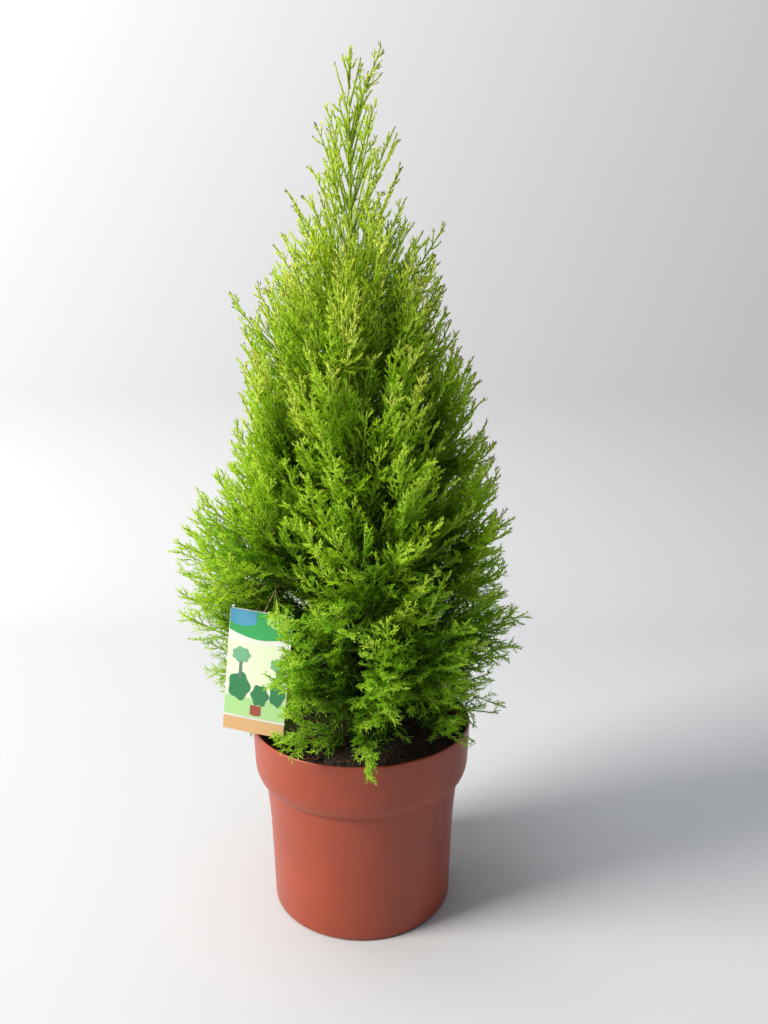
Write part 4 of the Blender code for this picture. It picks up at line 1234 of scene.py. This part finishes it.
def soil_profile():
    """Radius and height of the soil from its middle out over the surface and down in the pot."""
    side = ((COLLAR_RADIUS, COLLAR_BOTTOM), (SHOULDER_RADIUS, SHOULDER_HEIGHT),
            (WAIST_RADIUS, WAIST_HEIGHT), (BASE_RADIUS, FOOT_TOP))
    radius = np.concatenate((np.linspace(0.0, SOIL_EDGE, SOIL_RINGS),
                             [r - SOIL_INSET for r, _ in side], (0.0,)))
    z = np.concatenate((np.full(SOIL_RINGS, SOIL_SURFACE), [h for _, h in side], (SOIL_BOTTOM,)))
    return np.stack((radius, z), axis=-1)


def soil_height(x, y, lump):
    """Soil height over its surface: two sizes of lumps, and a mound at the trunk as e^-(r/R)^2."""
    coarse = value_noise(x * COARSE_LUMPS + 20.0, y * COARSE_LUMPS + 20.0, 5, 64)
    fine = value_noise(x * FINE_LUMPS + 60.0, y * FINE_LUMPS + 60.0, 6, 64)
    mound = MOUND_HEIGHT * np.exp(-(np.hypot(x, y) / MOUND_RADIUS) ** 2)
    return lump * (0.65 * (coarse - 0.5) + 0.5 * (fine - 0.5)) + mound


def loose_blocks(count, thick, length, lump, rng):
    """Loose bits as slim eight-cornered blocks that lie on the soil at random."""
    away = CHIPS_REACH * np.sqrt(rng.random(count))
    turn = rng.uniform(0.0, 2.0 * math.pi, count)
    x, y = away * np.cos(turn), away * np.sin(turn)
    z = SOIL_SURFACE + soil_height(x, y, lump) + 0.3 * thick
    centre = np.stack((x, y, z), axis=-1)
    heading = rng.uniform(0.0, 2.0 * math.pi, count)
    tilt = rng.normal(0.0, 0.25, count)
    along = unit(np.stack((np.cos(heading), np.sin(heading), tilt), axis=-1))
    side, up = across_of(along)
    size = rng.uniform(0.4, 1.0, (count, 1)) * length * 0.5
    wide = rng.uniform(0.5, 1.3, (count, 1)) * thick * 0.5
    signs = np.array([(a, b, c) for a in (-1, 1) for b in (-1, 1) for c in (-1, 1)], float)
    signs = signs[None] * rng.uniform(0.6, 1.1, (count, 8, 3))
    verts = centre[:, None] + signs[..., :1] * (along * size)[:, None]
    verts = verts + signs[..., 1:2] * (side * wide)[:, None] + signs[..., 2:] * (up * wide)[:, None]
    tris = split_quads(np.array(((0, 1, 3, 2), (4, 6, 7, 5), (0, 4, 5, 1), (2, 3, 7, 6),
                                 (0, 2, 6, 4), (1, 5, 7, 3))))
    return verts.reshape(-1, 3), (tris[None] + 8 * np.arange(count)[:, None, None]).reshape(-1, 3)


class CYPRESS_OT_soil(bpy.types.Operator):
    """Build the potting soil and the chips and fibres on it"""
    bl_idname = "cypress.soil"
    bl_label = "Soil"

    def execute(self, context):
        s = context.scene.cypress_soil
        profile = soil_profile()
        turn = 2.0 * math.pi * np.arange(SOIL_SEGMENTS) / SOIL_SEGMENTS
        x, y = profile[:, :1] * np.cos(turn), profile[:, :1] * np.sin(turn)
        ripple = soil_height(x, y, s.lump)
        ripple[SOIL_RINGS:] = 0.0
        verts, faces = turned(profile, SOIL_SEGMENTS, ripple)
        new_piece("soil_surface", verts, faces[:, ::-1], moist_peat(s), "peat_soil", ("soil",))
        rng = np.random.default_rng(3)
        for name, shade, thick, length, share in (
                ("peat_crumbs", s.crumbs, 0.0011, 0.0028, 0.55),
                ("bark_chips", s.chips, 0.0012, 0.0055, 0.30),
                ("pale_fibres", s.fibres, 0.0004, 0.0060, 0.15)):
            blocks = loose_blocks(int(s.bits * share), thick, length, s.lump, rng)
            new_piece(name, *blocks, loose_bits(name, shade), "peat_soil", smooth=False)
        return {"FINISHED"}


# ---------------------------------------------------------------- trunk and boughs

def bark_tube(path, radius, sides, relief, seed):
    """A closed tube along one polyline whose radius carries long ridges and fine cracks of bark.

    Both are noise on turn and length, and fade out in proportion to a thin limb's radius.
    """
    far = np.concatenate(([0.0], np.cumsum(np.linalg.norm(np.diff(path, axis=0), axis=1))))
    turn = 2.0 * math.pi * np.arange(sides) / sides
    around, along = np.broadcast_arrays(turn / (2.0 * math.pi), far[:, None])
    ridge = value_noise(around * RIDGES_ROUND, along * RIDGES_ALONG, seed, RIDGES_ROUND)
    crack = value_noise(around * CRACKS_ROUND, along * CRACKS_ALONG, seed + 1, CRACKS_ROUND)
    depth = relief * (1.1 * (ridge - 0.5) + 0.7 * (crack - 0.5))
    depth = depth * np.minimum(1.0, radius / THIN_LIMB)[:, None]
    return tube_arrays(path[None], (radius[:, None] + depth)[None], sides)


class CYPRESS_OT_limbs(bpy.types.Operator):
    """Build the trunk and the boughs with the relief of their bark"""
    bl_idname = "cypress.limbs"
    bl_label = "Trunk and boughs"

    def execute(self, context):
        s = context.scene.cypress_limbs
        bark = fibrous_bark(s)
        z = np.linspace(SOIL_LEVEL + GAP, TRUNK_TOP, 380)
        path = np.stack((trunk_x(z), np.zeros_like(z), z), axis=-1)
        trunk = bark_tube(path, trunk_radius(z), 44, s.trunk_relief, 11)
        new_piece("trunk_bark", *trunk, bark, "bark", ("trunk",))
        tubes = []
        names = []
        share = np.linspace(0.005, BOUGH_END, 46)
        for tier in TIERS:
            if not tier.has_bough:
                continue
            root = BOUGH_ROOT * float(trunk_radius(stem_height(tier))) + GAP
            radius = np.interp(share, (0.0, BOUGH_REACH, BOUGH_END), (root, STEM_RADIUS, BOUGH_TIP))
            for index in range(tier.masses):
                path = stem_path(tier, index, share)
                tubes.append(bark_tube(path, radius, 18, s.bough_relief, 30 + len(tubes)))
                names.append(f"bough_{tier.name}_{index + 1}")
        new_piece("boughs_bark", *merged(tubes), bark, "bark", names)
        return {"FINISHED"}


# ---------------------------------------------------------------- foliage

class CYPRESS_OT_foliage(bpy.types.Operator):
    """Grow the twigs and needles of every foliage mass"""
    bl_idname = "cypress.foliage"
    bl_label = "Foliage"

    def execute(self, context):
        s = context.scene.cypress_crown
        rng = np.random.default_rng(s.seed)
        sprays, room = spray_paths(s.seed)
        twigs, spray_of = side_shoots(sprays, rng, TWIG, s.twig_spacing, room)
        twiglets, twig_of = side_shoots(twigs, rng, TWIGLET, s.twiglet_spacing,
                                        room[spray_of] + TWIGLET_ROOM)
        ahead = np.linalg.norm(twigs[:, 0] - sprays[spray_of, -1], axis=-1)
        pick = rng.random(len(sprays))
        spray_green = green_of(sprays[:, SPRAY_COLOUR_POINT], np.zeros(len(sprays)), pick, rng)
        twig_green = green_of(twigs[:, TWIG_COLOUR_POINT], ahead, pick[spray_of], rng)
        kites, greens, backs = [], [], []
        for paths, own, bare, scale in zip((sprays, twigs, twiglets),
                                           (spray_green, twig_green, twig_green[twig_of]),
                                           BARE_FEET, NEEDLE_SCALES):
            needles, parent, back = needles_on(paths, rng, s.needle_spacing, bare, scale)
            kites.append(needles)
            greens.append(own[parent])
            backs.append(back)
        back = np.concatenate(backs)
        green = np.concatenate(greens)
        # The olive stands for browned buds and for painted shade of backlit tips
        green[buds_and_shaded_tips_among(np.concatenate(kites)[:, 0], back, rng)] = GREENS.index("bud_olive")
        high = twiglets[:, 0, 2] > SECOND_CORE_HEIGHT
        kites += [cores_of(twiglets, 0.0), cores_of(twiglets[high], 0.5 * math.pi)]
        green = np.concatenate((green, twig_green[twig_of], twig_green[twig_of[high]]))
        self.needles(np.concatenate(kites), green, context.scene.cypress_greens)
        self.wood(sprays, twigs, s)
        return {"FINISHED"}

    def needles(self, kites, green, s):
        """One piece or more of needles for each green, of MOST_KITES kites or fewer."""
        for number, name in enumerate(GREENS):
            own = kites[green == number]
            finish = needle_green("needles_" + name, getattr(s, name))
            for part, some in enumerate(np.array_split(own, len(own) // MOST_KITES + 1)):
                new_piece(f"needles_{name}_{part + 1}", some, kite_faces(len(some)), finish,
                          "foliage_mid", MASSES, smooth=False)

    def wood(self, sprays, twigs, s):
        """The sprays' brown feet low in the crown, their green ends, and the twigs."""
        sprays = sprays[:, ::2]
        t = np.linspace(0.0, 1.0, sprays.shape[1])
        radii = np.repeat((SPRAY_ROOT - SPRAY_TAPER * t)[None], len(sprays), axis=0)
        old = sprays[:, 0, 2] < WOODY_HEIGHT
        woody = green_wood("young_woody_twig", (s.wood_dark, s.wood_light), 0.7, 0.3)
        feet = tube_arrays(sprays[old, :3], radii[old, :3], 4)
        new_piece("sprays_wood", *feet, woody, "bark", MASSES)
        ripening = green_wood("ripening_shoot", (s.shoot_dark, s.shoot_light), 0.6, 0.2)
        ends = merged([tube_arrays(sprays[old, 2:], radii[old, 2:], 4),
                       tube_arrays(sprays[~old], radii[~old], 4)])
        new_piece("sprays_green", *ends, ripening, "foliage_mid", MASSES)
        t = np.array((0.0, 0.67, 1.0))
        radii = np.repeat((TWIG_ROOT - TWIG_TAPER * t)[None], len(twigs), axis=0)
        fresh = green_wood("green_twig", (s.twig_dark, s.twig_light), 0.6, 0.2)
        new_piece("twigs_green", *tube_arrays(twigs[:, (0, 2, 3)], radii, 3), fresh,
                  "foliage_mid", MASSES)


# ---------------------------------------------------------------- label

def card_point(u, v, lift):
    """World points on the card: u across from its middle, v down from its top edge.

    The card bows along a parabola, and lift is the height over its middle plane.
    """
    across, down, back = card_axes()
    bow = -CARD_BOW * (1.0 - (2.0 * u / CARD_WIDTH) ** 2)
    flat = CARD_TOP + across * u[..., None] + down * v[..., None]
    return flat + back * (bow - lift)[..., None]


def card_shape(outline, lift):
    """A flat shape on the card from an outline of (u, v) points: rings round its centre."""
    outline = np.asarray(outline, float)
    centre = outline.mean(axis=0)
    rings = np.linspace(0.0, 1.0, CARD_RINGS + 1)[1:, None, None]
    points = centre + (outline[None] - centre) * rings
    points = np.concatenate((centre[None], points.reshape(-1, 2)))
    count = len(outline)
    a = np.arange(count)
    b = (a + 1) % count
    faces = [np.stack((np.zeros_like(a), 1 + b, 1 + a), axis=-1)]
    for ring in range(CARD_RINGS - 1):
        i = 1 + ring * count
        faces.append(np.stack((i + a, i + count + b, i + count + a), axis=-1))
        faces.append(np.stack((i + a, i + b, i + count + b), axis=-1))
    return card_point(points[:, 0], points[:, 1], np.full(len(points), lift)), np.concatenate(faces)


def card_outline(corner):
    """The card's outline: four quarter circles at the corners of its rectangle."""
    quarter = np.linspace(0.0, 0.5 * math.pi, 7)
    arcs = []
    for side, v, start in ((1, corner, -90), (1, CARD_HEIGHT - corner, 0),
                           (-1, CARD_HEIGHT - corner, 90), (-1, corner, 180)):
        turn = quarter + math.radians(start)
        u = side * (CARD_WIDTH / 2 - corner)
        arcs.append(np.stack((u + corner * np.cos(turn), v + corner * np.sin(turn)), axis=-1))
    return np.concatenate(arcs)


def card_block(outline):
    """The card as a closed block: its front, its back and the narrow edge between them."""
    front, faces = card_shape(outline, CARD_THICKNESS / 2)
    back, _ = card_shape(outline, -CARD_THICKNESS / 2)
    count, total = len(outline), len(front)
    last_ring = 1 + (CARD_RINGS - 1) * count
    i = last_ring + np.arange(count)
    n = last_ring + (np.arange(count) + 1) % count
    rim = np.concatenate((np.stack((i, n + total, i + total), axis=-1),
                          np.stack((i, n, n + total), axis=-1)))
    return np.concatenate((front, back)), np.concatenate((faces, faces[:, ::-1] + total, rim))


def blob(cu, cv, ru, rv, lobes, count=40):
    """A round bush as an outline of points: a circle with soft lobes."""
    a = 2.0 * math.pi * np.arange(count) / count
    r = 1.0 + 0.10 * np.cos(lobes * a)
    return np.stack((cu + ru * r * np.cos(a), cv + rv * r * np.sin(a)), axis=-1)


def patch(u0, v0, u1, v1, dip=0.0, count=14):
    """A rectangle as an outline of points, with its lower edge dipping in the middle."""
    top = np.stack((np.linspace(u0, u1, count), np.full(count, v0)), axis=-1)
    t = np.linspace(1.0, 0.0, count)
    low = np.stack((u0 + (u1 - u0) * t, v1 + dip * np.sin(math.pi * t)), axis=-1)
    return np.concatenate((top, low))


def print_outlines(edge):
    """The print from back to front, as outlines for each ink: a garden in plain shapes.

    Edge is half the width of the printed area. Patches are given by two corners, blobs by centre,
    radii and number of lobes, across and down the card.
    """
    return {
        "field": [patch(-edge, 0.030, edge, 0.100)],
        "band": [patch(-edge, 0.0004, edge, 0.020, 0.006)],
        "sky": [patch(-edge, 0.0004, -0.004, 0.012, 0.003)],
        "glow": [patch(0.006, 0.0004, edge, 0.010, 0.004)],
        "lawn": [patch(-edge, 0.082, edge, 0.100)],
        "bushes": [blob(-0.016, 0.072, 0.010, 0.013, 5), blob(0.004, 0.078, 0.008, 0.010, 6),
                   blob(0.020, 0.074, 0.007, 0.012, 5)],
        "stems": [patch(-0.017, 0.040, -0.0145, 0.064), patch(0.018, 0.046, 0.0205, 0.066)],
        "crowns": [blob(-0.016, 0.042, 0.008, 0.007, 7), blob(0.019, 0.047, 0.007, 0.006, 7)],
        "clay": [patch(-0.004, 0.088, 0.006, 0.097, 0.001)],
        "kraft": [patch(-edge, 0.1020, edge, CARD_HEIGHT - 0.0004)],
    }


def strap_paths():
    """A loop round the stem that holds the label and a tail down to the card, as polylines."""
    share = np.array((LOOP_REACH, LOOP_REACH + LOOP_AHEAD))
    stem, nearby = stem_path(TIERS[HOLDER_TIER], HOLDER_MASS, share)
    along = unit(nearby - stem)
    down = CARD_TOP - stem
    down = unit(down - along * (down @ along))
    centre = stem + down * (LOOP_RADIUS - STRAP_RADIUS - STEM_RADIUS - GAP)
    side = np.cross(along, down)
    a = np.linspace(0.0, 2.0 * math.pi, 41)[:, None]
    ring = centre + LOOP_RADIUS * (np.cos(a) * down + np.sin(a) * side)
    foot = centre + down * LOOP_RADIUS
    end = CARD_TOP + card_axes()[1] * STRAP_OVERLAP
    tail = foot + (end - foot) * np.linspace(0.0, 1.0, 41)[:, None]
    return np.stack((ring, tail))


class CYPRESS_OT_label(bpy.types.Operator):
    """Build the hanging plant label with its print and strap"""
    bl_idname = "cypress.label"
    bl_label = "Plant label"

    def execute(self, context):
        s = context.scene.cypress_label
        block = card_block(card_outline(s.corner))
        card = new_piece("label_card", *block, coated_card(s), "label_card", ("plant_tag",))
        card.data.set_sharp_from_angle(angle=math.radians(40.0))
        inks = print_outlines(CARD_WIDTH / 2 - s.margin)
        for level, (name, outlines) in enumerate(inks.items()):
            lift = CARD_THICKNESS / 2 + INK_STEP * (level + 1)
            shapes = merged([card_shape(outline, lift) for outline in outlines])
            name_of_piece = f"print_{name}"
            new_piece(name_of_piece, *shapes, offset_ink(name_of_piece, getattr(s, name)),
                      "label_card")
        paths = strap_paths()
        strap = tube_arrays(paths, np.full(paths.shape[:2], STRAP_RADIUS), 10)
        new_piece("label_strap", *strap, strap_plastic(s), "label_card", ("plant_tag",))
        return {"FINISHED"}


# ---------------------------------------------------------------- studio

def link_new(name, data):
    """A new object of the scene with this data."""
    made = bpy.data.objects.new(name, data)
    bpy.context.scene.collection.objects.link(made)
    return made


def sweep_mesh():
    """Floor and backdrop in one sheet: a level, a quarter turn of 0.45 m and an upright."""
    bend = np.linspace(0.0, 0.5 * math.pi, 16)
    y = np.concatenate(((-3.0,), 0.75 + 0.45 * np.sin(bend), (1.2,)))
    z = np.concatenate(((0.0,), 0.45 - 0.45 * np.cos(bend), (4.0,)))
    x = np.array((-4.0, 4.0))
    verts = np.stack(np.broadcast_arrays(x[None], y[:, None], z[:, None]), axis=-1)
    mesh = bpy.data.meshes.new("studio_sweep")
    mesh.from_pydata(verts.reshape(-1, 3).tolist(), [], grid_faces(len(y), 2, False).tolist())
    mesh.shade_smooth()
    return mesh


class CYPRESS_OT_stage(bpy.types.Operator):
    """Set up the floor, the backdrop, the lights and the camera"""
    bl_idname = "cypress.stage"
    bl_label = "Studio"

    def execute(self, context):
        s = context.scene.cypress_studio
        sweep = link_new("studio_sweep", sweep_mesh())
        # Matt paper: one even pale tone without gloss, so that only soft shade falls on it
        paper, _, _ = new_material("matt_studio_paper", (*s.floor, 1.0), 0.9)
        sweep.data.materials.append(paper)
        world = bpy.data.worlds.new("studio_sky")
        world.use_nodes = True
        sky = world.node_tree.nodes["Background"]
        sky.inputs[0].default_value = linear("#eef2fa")
        sky.inputs[1].default_value = s.fill
        context.scene.world = world
        for name, place, size, power, code in (
                ("key_window", (-3.6, -1.25, 2.5), 1.8, s.key, "#fffaf2"),
                ("wall_wash", (-0.6, -0.3, 3.0), 1.5, WALL_SHARE * s.key, "#f4f7ff")):
            light = bpy.data.lights.new(name, "AREA")
            light.size = size
            light.energy = power
            light.color = linear(code)[:3]
            lamp = link_new(name, light)
            lamp.location = place
            aim = LAMP_TARGET - np.array(place)
            lamp.rotation_euler = (math.atan2(math.hypot(aim[0], aim[1]), -aim[2]), 0.0,
                                   math.atan2(-aim[0], aim[1]))
        camera = link_new("studio_camera", bpy.data.cameras.new("studio_camera"))
        camera.data.sensor_fit = "AUTO"
        camera.data.sensor_width = CAMERA_SENSOR
        camera.data.lens = CAMERA_LENS
        camera.location = CAMERA_PLACE
        camera.rotation_euler = (CAMERA_PITCH, 0.0, 0.0)
        context.scene.camera = camera
        context.scene.view_settings.view_transform = "Standard"
        return {"FINISHED"}


# ---------------------------------------------------------------- add-on

OPERATORS = (CYPRESS_OT_pot, CYPRESS_OT_soil, CYPRESS_OT_limbs, CYPRESS_OT_foliage,
             CYPRESS_OT_label, CYPRESS_OT_stage)


class CYPRESS_PT_panel(bpy.types.Panel):
    """Sidebar panel of the cypress's pieces, sizes and colours"""
    bl_idname = "CYPRESS_PT_panel"
    bl_label = "Lemon cypress"
    bl_space_type = "VIEW_3D"
    bl_region_type = "UI"
    bl_category = "Cypress"

    def draw(self, context):
        for operator in OPERATORS:
            self.layout.operator(operator.bl_idname)
        for name, group in SETTINGS.items():
            box = self.layout.box()
            for key in group.__annotations__:
                box.prop(getattr(context.scene, name), key)


CLASSES = (*SETTINGS.values(), *OPERATORS, CYPRESS_PT_panel)


def register():
    for cls in CLASSES:
        bpy.utils.register_class(cls)
    for name, group in SETTINGS.items():
        setattr(bpy.types.Scene, name, PointerProperty(type=group))


def unregister():
    for name in SETTINGS:
        delattr(bpy.types.Scene, name)
    for cls in reversed(CLASSES):
        bpy.utils.unregister_class(cls)


def main():
    register()
    bpy.ops.cypress.pot()
    bpy.ops.cypress.soil()
    bpy.ops.cypress.limbs()
    bpy.ops.cypress.foliage()
    bpy.ops.cypress.label()
    bpy.ops.cypress.stage()


if __name__ == "__main__":
    main()
